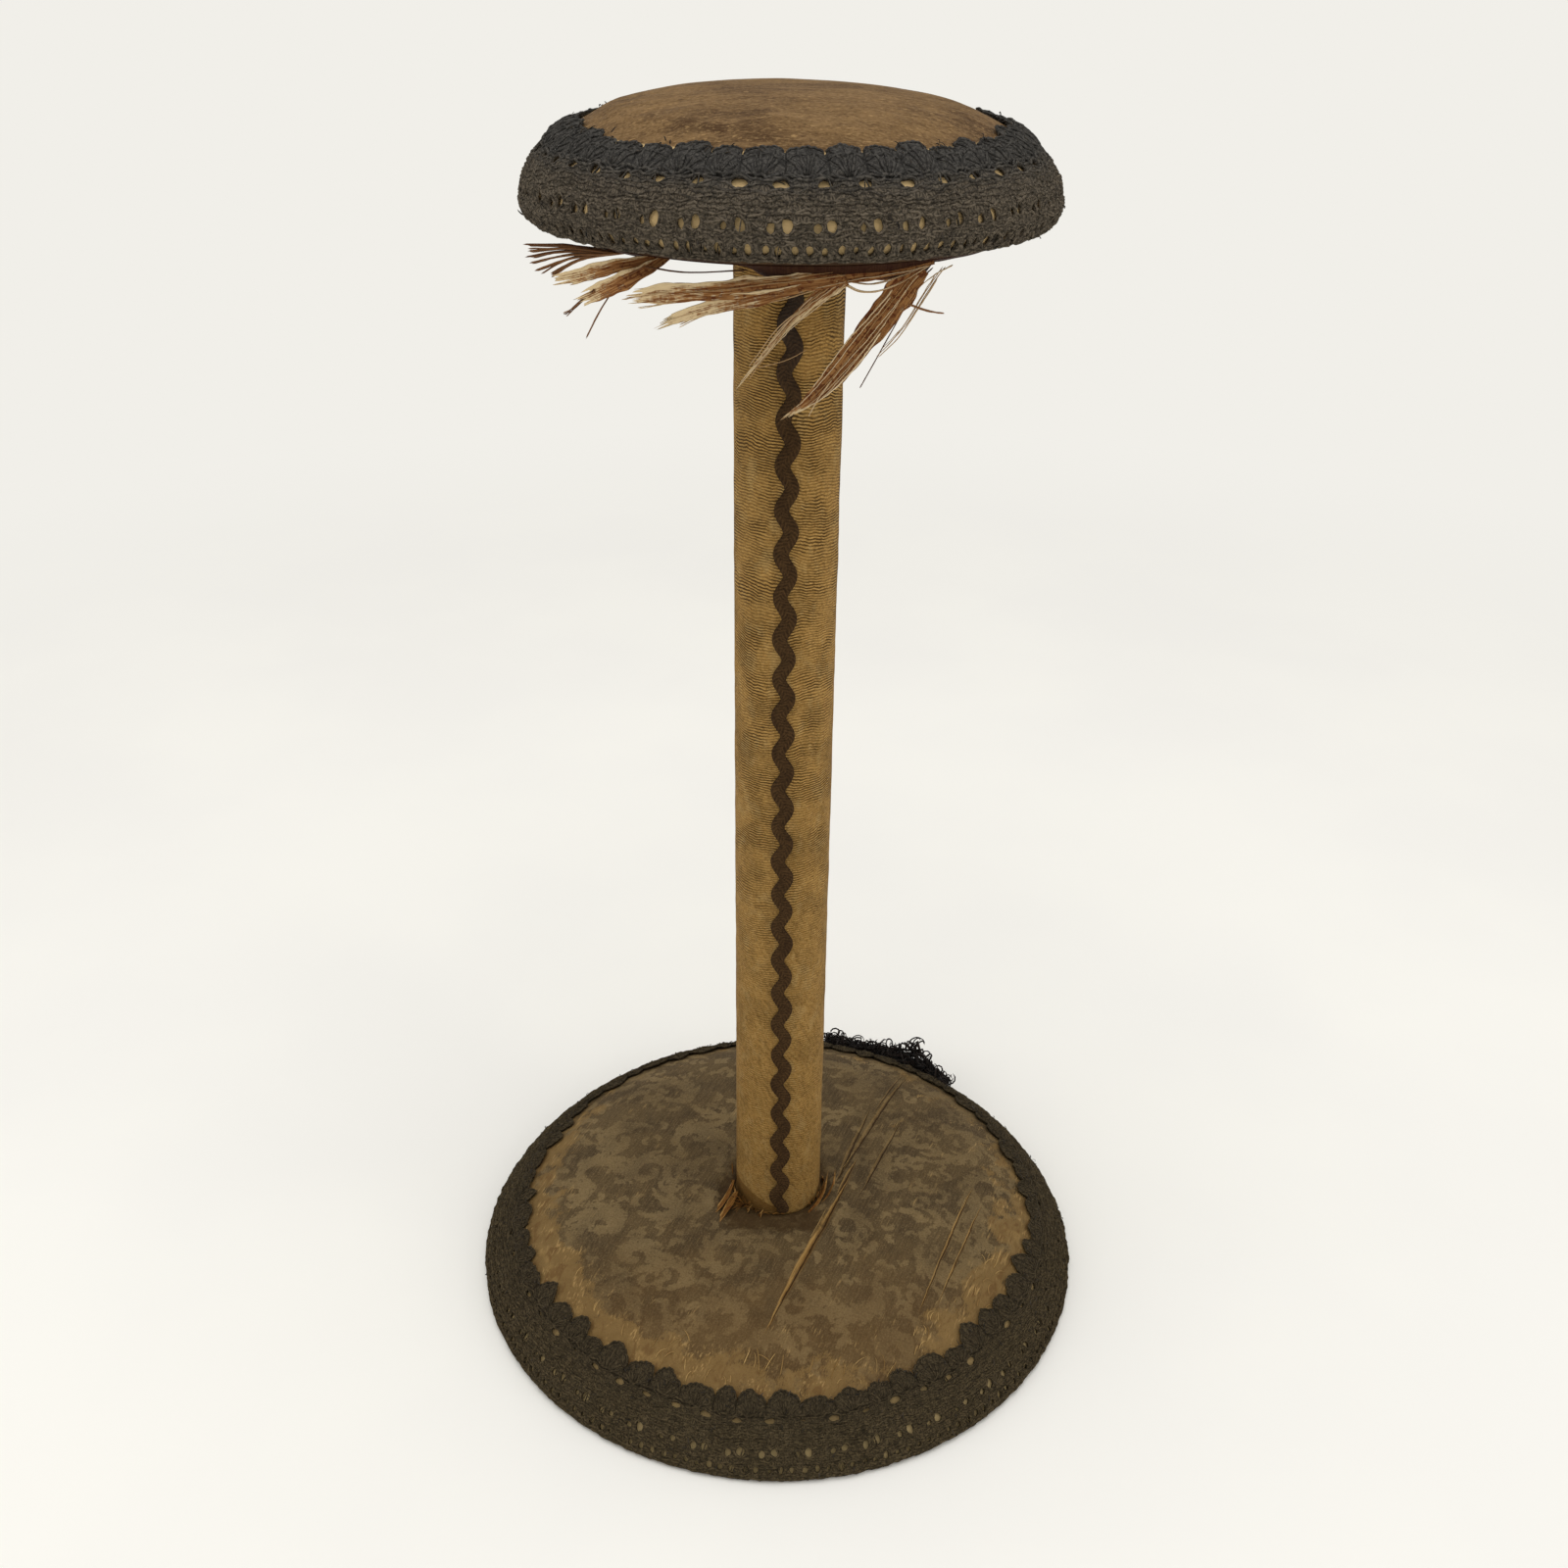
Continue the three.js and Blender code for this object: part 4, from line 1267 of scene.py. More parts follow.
    def build_band(self) -> Piece:
        """Copies the repeat round the rim and shapes it.

        Returns:
            The braid.
        """
        piece = self.repeat()
        Bench.choose(piece)
        row = piece.modifiers.new("repeats", "ARRAY")
        row.count, row.use_relative_offset, row.use_constant_offset = self.scallops, False, True
        row.constant_offset_displace = (1, 0, 0)
        row.use_merge_vertices, row.merge_threshold = True, 0.0005
        bpy.ops.object.modifier_apply(modifier=row.name)
        place, up = self.vary_holes(*Bench.points(piece)[:, :2].T)
        top, _, aside = self.scallop_top(place)
        share = ((up - self.heading) / (self.width + self.rise - self.heading)).clip(0)
        up = np.where(up > self.heading, self.heading + (top - self.heading) * share, up)
        Bench.place(piece, self.lay(place, up))
        shell, reach = up > self.heading, up - self.heading + 1.5
        spots = self.outline.wrap((place + self.start) / self.scallops, up)
        rough = up + 2.2 * lumps(spots, 4.0, self.seed + 11)
        Bench.mark(
            piece,
            across=np.where(shell, np.arctan2(aside, reach.clip(0.3)) * 4.2, place * self.pitch),
            up=np.where(shell, np.hypot(aside, reach), up),
            scallop=fade(rough, self.heading - 5, self.heading + 2),
        )
        Bench.weld(piece, 0.02)
        Bench.thicken(piece, 0.6)
        return Bench.dress(piece, self.finish, "crochet", self.node)

    def vary_holes(self, place: Array, up: Array) -> tuple[Array, Array]:
        """Draws each hole in or out about its middle, so that no two are alike.

        Args:
            place: Places along the braid, in repeats.
            up: Heights up the braid.

        Returns:
            The new places and heights.
        """
        for (x, y, half_x, half_y), size, shift in self.openings:
            index = np.minimum(place.astype(int), self.scallops - 1)
            off_x, off_y = place - index - x, up - y
            near = fade(np.hypot(off_x / half_x, off_y / half_y), 2.2, 1.0)
            place = place + near * (off_x * (size[index] ** 0.5 - 1) + shift[index])
            up = up + near * off_y * (size[index] - 1)
        return place, up

    def row_yarn(self) -> list[Array]:
        """Runs the yarn of the band: wavering lines round it that part at each hole.

        Returns:
            The lines, from the lower edge up.
        """
        place = np.linspace(0, self.scallops, 16 * self.scallops + 1)
        spots = self.outline.wrap(place / self.scallops, np.full_like(place, 6.0))
        index = np.minimum(place.astype(int), self.scallops - 1)
        lines = []
        for number, low in enumerate(np.arange(0.45, self.heading + 0.9, 0.92)):
            up = low + 0.8 * lumps(spots, 3.2, number + 50) + 0.5 * lumps(spots, 1.3, number + 80)
            up = up.clip(0.3)
            for (x, y, half_x, half_y), size, shift in self.openings:
                off = (place - index - x - shift[index]) / (half_x * size[index] ** 0.5 + 0.24 / self.pitch)
                tall = (half_y * size[index] + 0.24) * (1 - off**2).clip(0) ** 0.5
                side = np.where(up < y, -tall, tall)
                up = np.where(np.abs(up - y) < tall, y + side, up)
            lines.append(self.lay(place, up, 0.05 + 0.1 * lumps(spots, 2.0, number + 20)))
        return lines

    def shell_yarn(self) -> list[Array]:
        """Runs the yarn of the scallops: stitches that fan out, a row across them and a looped edge.

        Returns:
            The lines, scallop by scallop.
        """
        chance = np.random.default_rng(self.seed + 60)
        run, reach = np.linspace(0, 1, 6), np.linspace(0.6, 10, 60)
        root = self.heading - 0.8
        lines = []
        for low, high in zip(self.bounds[: self.scallops], self.bounds[1:]):
            middle, half = (low + high) / 2, (high - low) / 2
            for aim in np.radians(np.linspace(-64, 64, 7) + chance.uniform(-5, 5, 7)):
                aside, up = reach * math.sin(aim), root + reach * math.cos(aim)
                top = self.scallop_top(middle + aside / self.pitch)[0]
                free = (np.abs(aside) < 0.96 * half * self.pitch) & (up < top - 0.2)
                length = 0.6 + (reach[free].max(initial=1.2) - 0.6) * run
                bow = chance.uniform(-0.3, 0.3) * np.sin(math.pi * run)
                aside = length * math.sin(aim) + bow * math.cos(aim)
                up = root + length * math.cos(aim) - bow * math.sin(aim)
                lines.append(self.lay(middle + aside / self.pitch, up, 0.1))
            for share, count, loop in ((0.62, 15, 0.12), (1.0, 31, 0.34)):
                off = np.linspace(-0.97, 0.97, count)
                place = middle + off * half
                up = self.heading + share * (self.scallop_top(place)[0] - 0.15 - self.heading)
                up += loop * np.abs(np.sin((count // 3) * off + chance.uniform(0, 3)))
                lines.append(self.lay(place, up, 0.05))
        return lines

    def build_yarn(self) -> Piece:
        """Makes the yarn that stands out of the braid's face.

        Returns:
            The yarn, as one piece.
        """
        rows, shells = self.row_yarn(), self.shell_yarn()
        lines = rows + shells
        radii = np.random.default_rng(self.seed + 70).uniform(0.26, 0.36, len(lines))
        heading = np.ones(len(lines))
        heading[: len(rows)] = fade(np.arange(len(rows)), len(rows) - 9, len(rows) + 1)
        piece = Bench.strands(self.name + "_yarn", list(zip(lines, radii)), 1.0, scallop=heading)
        return Bench.dress(piece, self.finish, "crochet")

    def build_fuzz(self, seed: int) -> Piece:
        """Makes the stray yarn ends that stand off the scallops and the lower edge.

        Args:
            seed: The source of what is random.

        Returns:
            The yarn ends as one piece.
        """
        chance = np.random.default_rng(seed)
        steps = np.linspace(0, 1, 5)
        lines = []
        for _ in range(self.strays):
            turn = chance.random()
            top = chance.random() < 0.72
            up = self.width + chance.uniform(-1.5, 2.0) if top else chance.uniform(0.6, 14)
            up *= self.drawn(turn)
            length = chance.uniform(0.8, 2.6)
            heading = chance.uniform(-math.pi, math.pi)
            course = heading + chance.uniform(-1.5, 1.5) * steps
            far = np.cumsum(np.cos(course)) * length / 5
            high = np.cumsum(np.sin(course)) * length / 5
            radius = float(self.outline.at(np.array([up]))[0][0])
            lift = 1.25 + chance.uniform(0.1, 0.9) * np.sin(math.pi * steps * chance.uniform(0.4, 1))
            lines.append(self.outline.wrap(turn + far / (TURN * radius), (up + high).clip(0.4), lift))
        piece = Bench.strands(self.name + "_fuzz", list(zip(lines, chance.uniform(0.1, 0.2, self.strays))))
        return Bench.dress(piece, Dress.FUZZ, "crochet")

    def build(self, seed: int) -> None:
        """Builds the braid with its yarn and its stray ends, which have a seed of their own."""
        band, yarn, stray = self.build_band(), self.build_yarn(), self.build_fuzz(seed)
        (self.width + 2) * MM
        self.pitch * self.scallops * MM


@dataclass(frozen=True)
class Scroll:
    """One scroll of the damask: a spiral stroke with curling leaves along its outer side."""

    x: float
    y: float
    wide: float
    tight: float
    start: float
    sweep: float
    stroke: float
    leaves: int
    leaf: float

    def dab(self, reach: Array, angle: Array, half: Array) -> Array:
        """Dabs round the scroll's middle: each one's place and its half width."""
        return np.column_stack([self.x + reach * np.cos(angle), self.y + reach * np.sin(angle), half])

    def strokes(self) -> Array:
        """Draws the scroll.

        Returns:
            Its dabs, one per row.
        """
        share = np.linspace(0, 1, 26)
        angle = np.radians(self.start + self.sweep * share)
        half = self.stroke * (0.5 + 0.6 * np.sin(math.pi * share))
        half[-3:] *= 1.5
        dabs = [self.dab(self.wide + (self.tight - self.wide) * share, angle, half)]
        run = np.linspace(0, 1, 6)
        for i in range(self.leaves):
            at = (i + 0.3) / self.leaves * 0.85
            turn = math.radians(self.start + self.sweep * at)
            size = self.leaf * (1.15 - 0.6 * at) * (1, 0.75)[i % 2]
            stem = self.wide + (self.tight - self.wide) * at
            lag = -math.copysign(1.0, self.sweep) * size * (0.35 * run + 0.75 * run**2.2)
            width = size * 0.17 * np.sin(math.pi * (0.2 + 0.68 * run)) + 0.15
            reach = stem + size * run**0.8
            dabs.append(self.dab(reach, turn + lag / np.maximum(reach, 3), width))
            if i % 2 and self.wide > 6:
                reach = stem - 0.55 * size * run**0.8
                dabs.append(self.dab(reach, turn + 0.7 * lag / np.maximum(reach, 3), 0.7 * width))
        return np.vstack(dabs)


# the damask's scrolls: x, y, wide, tight, start, sweep, stroke, leaves and leaf of each
DAMASK = (
    (-25, -6, 10, 3.5, 95, 290, 1.2, 10, 6.5),
    (-28, 17, 8, 5, -30, 215, 1.5, 8, 6.5),
    (-41, 3, 6, 3, 40, 220, 1.1, 7, 5.5),
    (-36, 42, 9, 3, 170, -290, 1.2, 9, 5.5),
    (-58, 4, 7, 4, 0, 190, 1.3, 7, 5.5),
    (-14, -32, 9, 2.4, 20, 360, 1.2, 10, 5.0),
    (-31, -40, 6, 3, 150, -240, 1.1, 7, 5.0),
    (-15, -55, 8, 3, 200, -270, 1.1, 8, 5.5),
    (23, -42, 11, 6, 195, 170, 1.5, 9, 6.0),
    (47, -28, 13, 4.5, 110, -310, 1.4, 11, 6.0),
    (57, 22, 10, 4, 200, 280, 1.2, 9, 5.5),
    (54, 42, 8, 4, -30, 210, 1.1, 8, 5.0),
    (38, 2, 7, 3, 60, 260, 1.1, 8, 5.5),
    (22, 50, 8, 4, 100, -230, 1.1, 8, 5.5),
    (25, 27, 6, 2.5, 160, -260, 1.0, 7, 4.6),
    (-10, 62, 8, 3, -60, 260, 1.1, 8, 5.0),
    (43, -52, 7, 3, 60, -240, 1.1, 7, 5.0),
    (66, 1, 6, 3, 230, -250, 1.0, 7, 4.6),
    (1, -66, 7, 4, 150, -140, 1.1, 6, 4.6),
    (-63, 29, 6, 3, -90, -230, 1.1, 7, 4.8),
    (-17, 35, 6, 3, 200, 250, 1.1, 7, 5.0),
    (4, -50, 5, 2, 20, -260, 1.0, 6, 4.2),
    (20, -18, 5.5, 2.5, -60, 240, 1.0, 6, 4.6),
    (66, -20, 5, 2.5, 90, 230, 1.0, 6, 4.2),
    (-48, -47, 6, 3, -20, 230, 1.0, 7, 4.6),
    (40, 63, 6, 3, 200, -230, 1.0, 6, 4.4),
    (-36, 66, 6, 3, 10, 240, 1.0, 6, 4.4),
    (-51, 19, 5, 1.5, 60, 330, 1.6, 10, 5.6),
    (-53, -18, 6.5, 2, 200, -320, 1.7, 11, 6.0),
    (-42, -31, 4.5, 1.5, -20, 300, 1.4, 8, 5.0),
    (-63, -4, 4, 1.5, 120, -260, 1.3, 7, 4.6),
    (-52, 52, 5, 2, 20, 300, 1.4, 8, 4.8),
    (58, -8, 4, 1.5, 250, 280, 1.3, 8, 4.4),
    (8, 44, 4, 1.5, 80, -280, 1.2, 7, 4.4),
    (32, -62, 4, 1.5, 0, 270, 1.2, 8, 4.6),
    (-30, -60, 4, 1.5, 200, 280, 1.2, 8, 4.6),
    (38, 22, 3.5, 1.2, 30, -280, 1.1, 7, 4.0),
    (-34, -12, 3.5, 1.2, 220, 260, 1.1, 7, 4.4),
)


def figure_distance(plan: Array) -> Array:
    """Measures how far places lie from the damask's scrolls and its scattered leaves.

    Args:
        plan: The places on the silk, X and Y.

    Returns:
        How far each is outside the figure, in millimetres, negative inside it.
    """
    dabs = np.vstack([Scroll(*row).strokes() for row in DAMASK])
    chance = np.random.default_rng(3)
    run = np.linspace(-0.5, 0.5, 6)
    for _ in range(1500):
        centre = chance.uniform(-84, 84, 2)
        heading = 9 * noise.noise((centre[0] / 26, centre[1] / 26, 0.5)) + chance.uniform(-0.4, 0.4)
        if (np.hypot(*(dabs[:, :2] - centre).T) - dabs[:, 2]).min() < 1.5:
            continue
        size, curl = chance.uniform(3.2, 6.2), chance.choice([-1.0, 1.0]) * 1.5
        turn = heading + curl * run
        leaf = centre + size * np.column_stack([run * np.cos(turn), run * np.sin(turn)])
        width = 0.12 + 0.16 * size * np.sin(math.pi * (0.62 + run * 0.75))
        dabs = np.vstack([dabs, np.column_stack([leaf, width])])
    found = []
    for part in np.array_split(plan, max(1, len(plan) // 3000)):
        gaps = np.hypot(part[:, None, 0] - dabs[None, :, 0], part[:, None, 1] - dabs[None, :, 1])
        found.append((gaps - dabs[:, 2]).min(axis=1))
    return np.concatenate(found).clip(-3, 4)


@dataclass
class Shred:
    """One torn strip of silk: the line it follows, its widths, and how frayed it is."""

    name: str
    node: str
    path: tuple[Place, ...]
    widths: tuple[float, ...]
    fray: float = 0.1
    pale_edge: float = 0.5
    pale_side: float = 1.0
    pale_from: float = 2.0
    curl: float = 0.5
    twist: float = 0.2
    columns: int = 14
    rows: int = 44
    facing: Place = (0.0, -1.0, 0.25)
    finish: Dress = Dress.LINING
    slot: str = "lining_silk"

    def build(self, seed: int) -> Piece:
        """Makes the strip, thin and rippled, with a ragged far end.

        Args:
            seed: The source of what is random.

        Returns:
            The strip.
        """
        piece, points = Bench.cloth(self.name, self.columns, self.rows)
        stations = self.rows + 1
        line = smooth_path(self.path, stations)
        tangent = np.gradient(line, axis=0)
        tangent /= np.linalg.norm(tangent, axis=1)[:, None]
        spin = self.twist * np.linspace(0, 1, stations)[:, None]
        side = np.cross(tangent, np.tile(self.facing, (stations, 1)))
        side /= np.linalg.norm(side, axis=1)[:, None]
        out = np.cross(side, tangent)
        turned = side * np.cos(spin) + out * np.sin(spin)
        row = row_of(points, self.rows)
        width = along_path(self.widths, stations)[row]
        off = (points[:, 0] - 0.5) * 2
        flat = floored(np.column_stack([off * 2, row * 0.32]))
        rag = 1 + 0.3 * lumps(flat, 1.8, seed) * np.abs(off)
        tips = lumps(floored(np.column_stack([off * 5, off * 0])), 0.9, seed + 1)
        ends = 2.4 * tips * (row / self.rows) ** 8
        place = line[row] + turned[row] * (off * width / 2 * rag)[:, None]
        place += tangent[row] * ends[:, None] * 2.2
        ripple = self.curl * (off**2 - 0.4) * 0.8 + 0.22 * lumps(flat, 2.4, seed + 2) * fade(row, 0, 6)
        place += out[row] * (ripple * width / 5)[:, None]
        Bench.place(piece, place)
        far = (row / self.rows) ** self.pale_from
        Bench.mark(
            piece,
            across=off * width / 2,
            along=row * np.linalg.norm(np.diff(line, axis=0), axis=1).mean(),
            fray=self.fray * 0.5 + far * 0.65 + self.pale_edge * fade(off * self.pale_side, 0.2, 1),
        )
        Bench.weld(piece, 1e-4)
        Bench.thicken(piece, 0.16, 0.0)
        return Bench.dress(piece, self.finish, self.slot, *filter(None, [self.node]))


def flap(path: tuple[Place, ...], widths: tuple[float, ...], fray: float = 0.2) -> Shred:
    """Plans a torn flap of the foot's silk.

    Args:
        path: The line it follows, from its root to its tip.
        widths: Its widths along the line.
        fray: How frayed it is.

    Returns:
        The flap.
    """
    facing = (0.2 * path[0][0], 0.2 * path[0][1], 2.0)
    look = {"curl": 0.3, "twist": 0.4, "finish": Dress.FLAP, "slot": "figured_silk"}
    return Shred("flap", "", path, widths, fray, columns=6, rows=14, facing=facing, **look)


FLAPS = (
    flap(
        ((-12.6, -7.6, 24.6), (-14.6, -11.0, 22.8), (-16.8, -15.4, 21.9), (-18.8, -19.6, 21.5)),
        (1.4, 2.6, 1.8, 0.4),
        fray=0.3,
    ),
    flap(
        ((-13.6, -4.0, 25.8), (-15.4, -7.8, 23.2), (-18.0, -12.0, 21.9), (-20.6, -15.6, 21.7)),
        (1.0, 2.2, 2.0, 0.5),
    ),
    flap(((-12.4, -7.8, 21.0), (-13.0, -8.0, 23.2), (-13.2, -6.8, 25.2)), (2.2, 1.5, 0.4)),
    flap(((-9.4, -11.8, 20.8), (-9.0, -12.8, 22.0), (-8.6, -13.2, 23.0)), (1.6, 1.0, 0.4), fray=0.5),
    flap(((-5.6, -14.2, 20.8), (-5.2, -14.4, 21.8), (-4.8, -14.2, 22.6)), (1.4, 0.9, 0.3), fray=0.4),
    flap(
        ((9.4, -12.6, 21.0), (12.0, -9.4, 21.7), (14.2, -5.0, 22.6), (15.2, -1.0, 24.4)),
        (0.6, 1.1, 0.9, 0.3),
    ),
    flap(
        ((11.6, -12.0, 21.2), (14.8, -7.4, 21.5), (17.0, -2.0, 21.9), (17.8, 2.6, 22.8)),
        (0.5, 1.0, 0.8, 0.3),
    ),
    flap(((13.8, 1.6, 21.0), (14.1, 0.4, 23.0), (13.8, -1.0, 24.8)), (1.5, 1.0, 0.3)),
    flap(((3.0, 14.4, 21.0), (2.0, 14.2, 22.4), (1.2, 13.9, 23.4)), (2.4, 1.6, 0.5)),
)

# the longer golden threads in front: where each starts, its length and its direction in degrees
GOLDEN_STRAYS = (
    (-4.5, -70.5, 8.0, 98),
    (-3.2, -69.5, 6.0, 60),
    (-1.0, -67.5, 5.5, 150),
    (1.2, -71.0, 6.5, 84),
    (-9.0, -68.0, 5.0, 70),
    (9.0, -70.0, 5.0, 75),
    (16.0, -68.5, 4.5, 64),
    (-24.0, -61.0, 4.5, 120),
)

# the torn ends round the post: where, how many, how widely spread, how flat, how tall and how thick
FRAYS = (
    (-152, 34, 24, 0.2, 5.0, 0.35),
    (-137, 40, 9, 0.9, 8.5, 0.2),
    (-112, 12, 16, 0.7, 4.0, 0.2),
    (-92, 12, 40, 0.5, 2.0, 0.22),
    (-28, 22, 18, 0.15, 4.5, 0.24),
    (90, 16, 90, 0.5, 2.5, 0.24),
)

# the crest of the braid's loose end: an angle in degrees and the height there, along its length
CREST_POINTS = (
    (79, 2.2), (76, 4.6), (72.5, 2.6), (68, 3.8), (63, 4.4),
    (60, 6.2), (56.5, 9.6), (54, 7.0), (50, 4.2), (46, 2.0),
)
CREST = smooth_path(CREST_POINTS, 60)


@dataclass
class Foot:
    """The wide covered foot: its silk, its braid, the braid's loose end and the frays."""

    radius: float = 90.7
    level: float = 0.7
    top: float = 22.0
    powers: tuple[float, float] = (5.25, 1.16)
    hem_height: float = 1.6
    hem_slope: float = 6.7
    hem_width: float = 8.0
    hole: float = 13.35
    silk: float = 0.55
    turns: int = 420
    warp: float = 70.0  # the direction of the loose threads, in degrees from +X
    rim_height: float = 9.6  # where the braid's loose end lies

    def __post_init__(self) -> None:
        """Draws the outlines of the edge and of the whole cover."""
        self.edge = dome(self.radius, self.level, self.top, self.powers)
        hem_in = self.radius - self.hem_slope
        under = [[hem_in - self.hem_width, self.hem_height], [hem_in, self.hem_height]]
        over = self.edge[self.edge[:, 0] > self.hole + 3]
        well = [[self.hole + 1.4, self.top - 0.25], [self.hole, self.top - 1.3]]
        self.cover = Outline(np.vstack([under, over, well]))
        self.braid = CrochetBraid(
            name="foot_braid",
            node="base_braid",
            seat="foot_silk_cover",
            finish=Dress.FOOT_CROCHET,
            outline=Outline(self.edge),
            scallops=58,
            seed=4,
            start=0.35,
            open_eyelets=0.15,
            strays=420,
            width=18.8,
            rise=3.6,
            edge=0.25,
            peak=1.6,
            small=0.6,
            uneven=0.22,
            rag=0.8,
            slack=0.12,
        )

    def hollow(self, plan: Array) -> Array:
        """Finds where the silk round the post is gone or sunk, which is also where shade is painted on it.

        Args:
            plan: Places on the silk, X and Y.

        Returns:
            How far it is, from 0 to 1.
        """
        rough = floored(plan)
        x, y = plan[:, 0] + 1.2 * lumps(rough, 4, 11), plan[:, 1] + 1.0 * lumps(rough, 3, 12)
        front = fade(y, -23.5, -18.0) * fade(y, -8, -14) * fade(np.abs(x + 1.0), 19.5, 11.0)
        round_post = fade(np.hypot(x, y), 17.5, 14.6)
        left = fade(np.hypot((x + 15) / 3.6, (y + 6) / 12), 1.3, 0.6)
        return np.clip(np.maximum(np.maximum(front, round_post), left), 0, 1)

    def wear(self, plan: Array) -> Array:
        """Finds how far the silk is worn golden, most beside the braid in front.

        Args:
            plan: Places on the silk, X and Y.

        Returns:
            How far it is, from 0 up.
        """
        x, y = plan.T
        angle = np.degrees(np.arctan2(y, x))
        band = fade(np.hypot(x, y) + 6.0 * lumps(floored(plan), 12, 21), 59, 76)
        place = 0.3 + 0.85 * bell(angle, -130, 34) + 0.3 * bell(angle, -88, 30)
        place += 0.7 * bell(angle, -22, 30) + 0.4 * bell(np.abs(angle), 172, 22)
        return band * place.clip(0, 1.15) + 0.45 * bell(x, 42, 8) * bell(y, 27, 4)

    def build_silk(self) -> None:
        """Makes the figured silk cover, with its sunken splits, its hollow and its flaps at the post."""
        whole = self.cover.lengths[-1]
        fine = np.arange(22.0, whole, 0.92)
        stations = np.concatenate([[0, 4, 8, 11, 14, 16, 18, 20], fine, [whole]])
        piece, points = Bench.cloth("foot_silk_cover", self.turns, len(stations) - 1)
        turn, along = points[:, 0], stations[row_of(points, len(stations) - 1)]
        flat = self.cover.wrap(turn, along)
        plan = flat[:, :2]
        top = fade(flat[:, 2], 12, 20)
        hollow = self.hollow(plan)
        lift = top * (0.2 * lumps(flat, 16, 2) + 0.07 * lumps(flat, 4, 3))
        pull = fade(along, whole, whole - 30) * np.sin(TURN * 17 * turn + 3 * lumps(flat, 30, 5))
        lift += 0.06 * pull * top
        for split in SPLITS[:4]:
            place = plan - (split.x, split.y)
            off, run = place @ split.aside, place @ split.along
            near = fade(np.abs(run), split.length * 0.55, split.length * 0.3)
            lift += near * split.width * (0.4 * bell(np.abs(off), 1.3, 0.9) - 0.6 * bell(off, 0, 0.8))
        shape = self.cover.wrap(turn, along, lift * fade(along, whole, whole - 2))
        shape[:, 2] -= hollow * fade(along, whole, whole - 2.5)
        Bench.place(piece, shape)
        under = along - self.hem_width - self.hem_slope
        Bench.mark(
            piece,
            figure=figure_distance(plan),
            wear=self.wear(plan),
            # how far the silk is sunk, which also sets the shade painted on it
            hollow=hollow,
            # Real gold kept under the braid, painted brighter lower down where the braid shades it: painted
            # light.
            kept=fade(under, 17.4, 16.2) * (0.5 + 0.5 * fade(under, 12, 9)),
        )
        Bench.weld(piece)
        Bench.thicken(piece, self.silk)
        Bench.dress(piece, Dress.FOOT_SILK, "figured_silk", "base_silk")
        self.build_flaps()

    def build_wadding(self) -> None:
        """Makes the thin wadding under the silk: a lumpy ring, thin towards its edge."""
        low, high = (np.array(corner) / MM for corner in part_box("base_wadding"))
        reach = (high[0] - low[0]) / 2
        floor, crown = low[2], high[2]
        loop = [[15.5, floor + 0.05], [reach - 2, floor + 0.05], [reach - 0.5, floor + 0.3]]
        loop += [[reach * 0.8, crown - 0.35], [35, crown - 0.3], [29, floor + 0.4], [15.5, floor + 0.4]]
        piece, points = Bench.cloth("foot_wadding_layer", 72, len(loop))
        radius, height = np.array(loop)[row_of(points, len(loop)) % len(loop)].T
        angle = TURN * points[:, 0]
        Bench.place(piece, ring(radius - 0.6 * np.abs(np.sin(9 * angle)) * (radius > 20), angle, height))
        Bench.weld(piece)
        Bench.dress(piece, Dress.WADDING, "wadding", "base_wadding")

    def on_silk(self, plan: Array, lift: Array | float) -> Array:
        """Lays places that are given in plan on top of the silk, or a lift above it."""
        height = np.interp(np.hypot(*plan.T), self.edge[::-1, 0], self.edge[::-1, 1])
        return np.column_stack([plan, height + lift])

    def build_split_threads(self) -> None:
        """Lays the golden threads that bridge and lie along the splits, and strays near the front."""
        chance = np.random.default_rng(21)
        threads = []
        ends = np.linspace(-1, 1, 7) ** 2
        for split, count in zip(SPLITS, (6, 1, 0, 0, 0, 3, 2, 0)):
            for _ in range(count):
                middle = chance.uniform(-0.45, 0.3) * split.length
                run = np.linspace(-0.5, 0.5, 7) * chance.uniform(0.12, 0.4) * split.length + middle
                off = chance.normal(-0.7, 0.45) * split.width + ends * chance.uniform(-0.4, 0.4)
                plan = (split.x, split.y) + np.outer(run, split.along) + np.outer(off, split.aside)
                lift = 0.1 + 0.25 * np.sin(math.pi * np.linspace(0, 1, 7)) * chance.random()
                threads.append((self.on_silk(plan, lift), chance.uniform(0.04, 0.08)))
        for _ in range(60):
            angle, reach = math.radians(chance.uniform(-150, -20)), chance.uniform(67, 76)
            start = np.array([reach * math.cos(angle), reach * math.sin(angle)])
            heading = math.radians(self.warp + chance.normal(0, 12))
            length = chance.uniform(1.5, 5.5)
            run = np.linspace(0, length, 6)
            course = heading + chance.uniform(-0.6, 0.6) * (run / length) ** 2
            step = np.column_stack([np.cos(course), np.sin(course)]) * run[:, None]
            lift = 0.12 + 0.5 * chance.random() * np.sin(math.pi * run / length)
            threads.append((self.on_silk(start + step, lift), chance.uniform(0.06, 0.12)))
        for x, y, length, aim in GOLDEN_STRAYS:
            run, course = np.linspace(0, length, 7), math.radians(aim)
            bend = 0.35 * np.sin(run / length * 2.4)
            plan = np.column_stack([x + run * math.cos(course) + bend, y + run * math.sin(course)])
            threads.append((self.on_silk(plan, 0.15 + 0.8 * np.sin(math.pi * run / length)), 0.13))
        Bench.dress(Bench.strands("foot_golden_threads", threads, 0.7), Dress.GILT, "figured_silk")

    def build_flaps(self) -> Piece:
        """Makes the torn flaps of silk at the foot of the post, and joins them into one piece.

        Returns:
            The flaps.
        """
        made = [shred.build(70 + number) for number, shred in enumerate(FLAPS)]
        Bench.clear()
        for piece in made:
            piece.select_set(True)
        bpy.context.view_layer.objects.active = made[0]
        bpy.ops.object.join()
        return Bench.named(bpy.context.object, "post_foot_flaps")

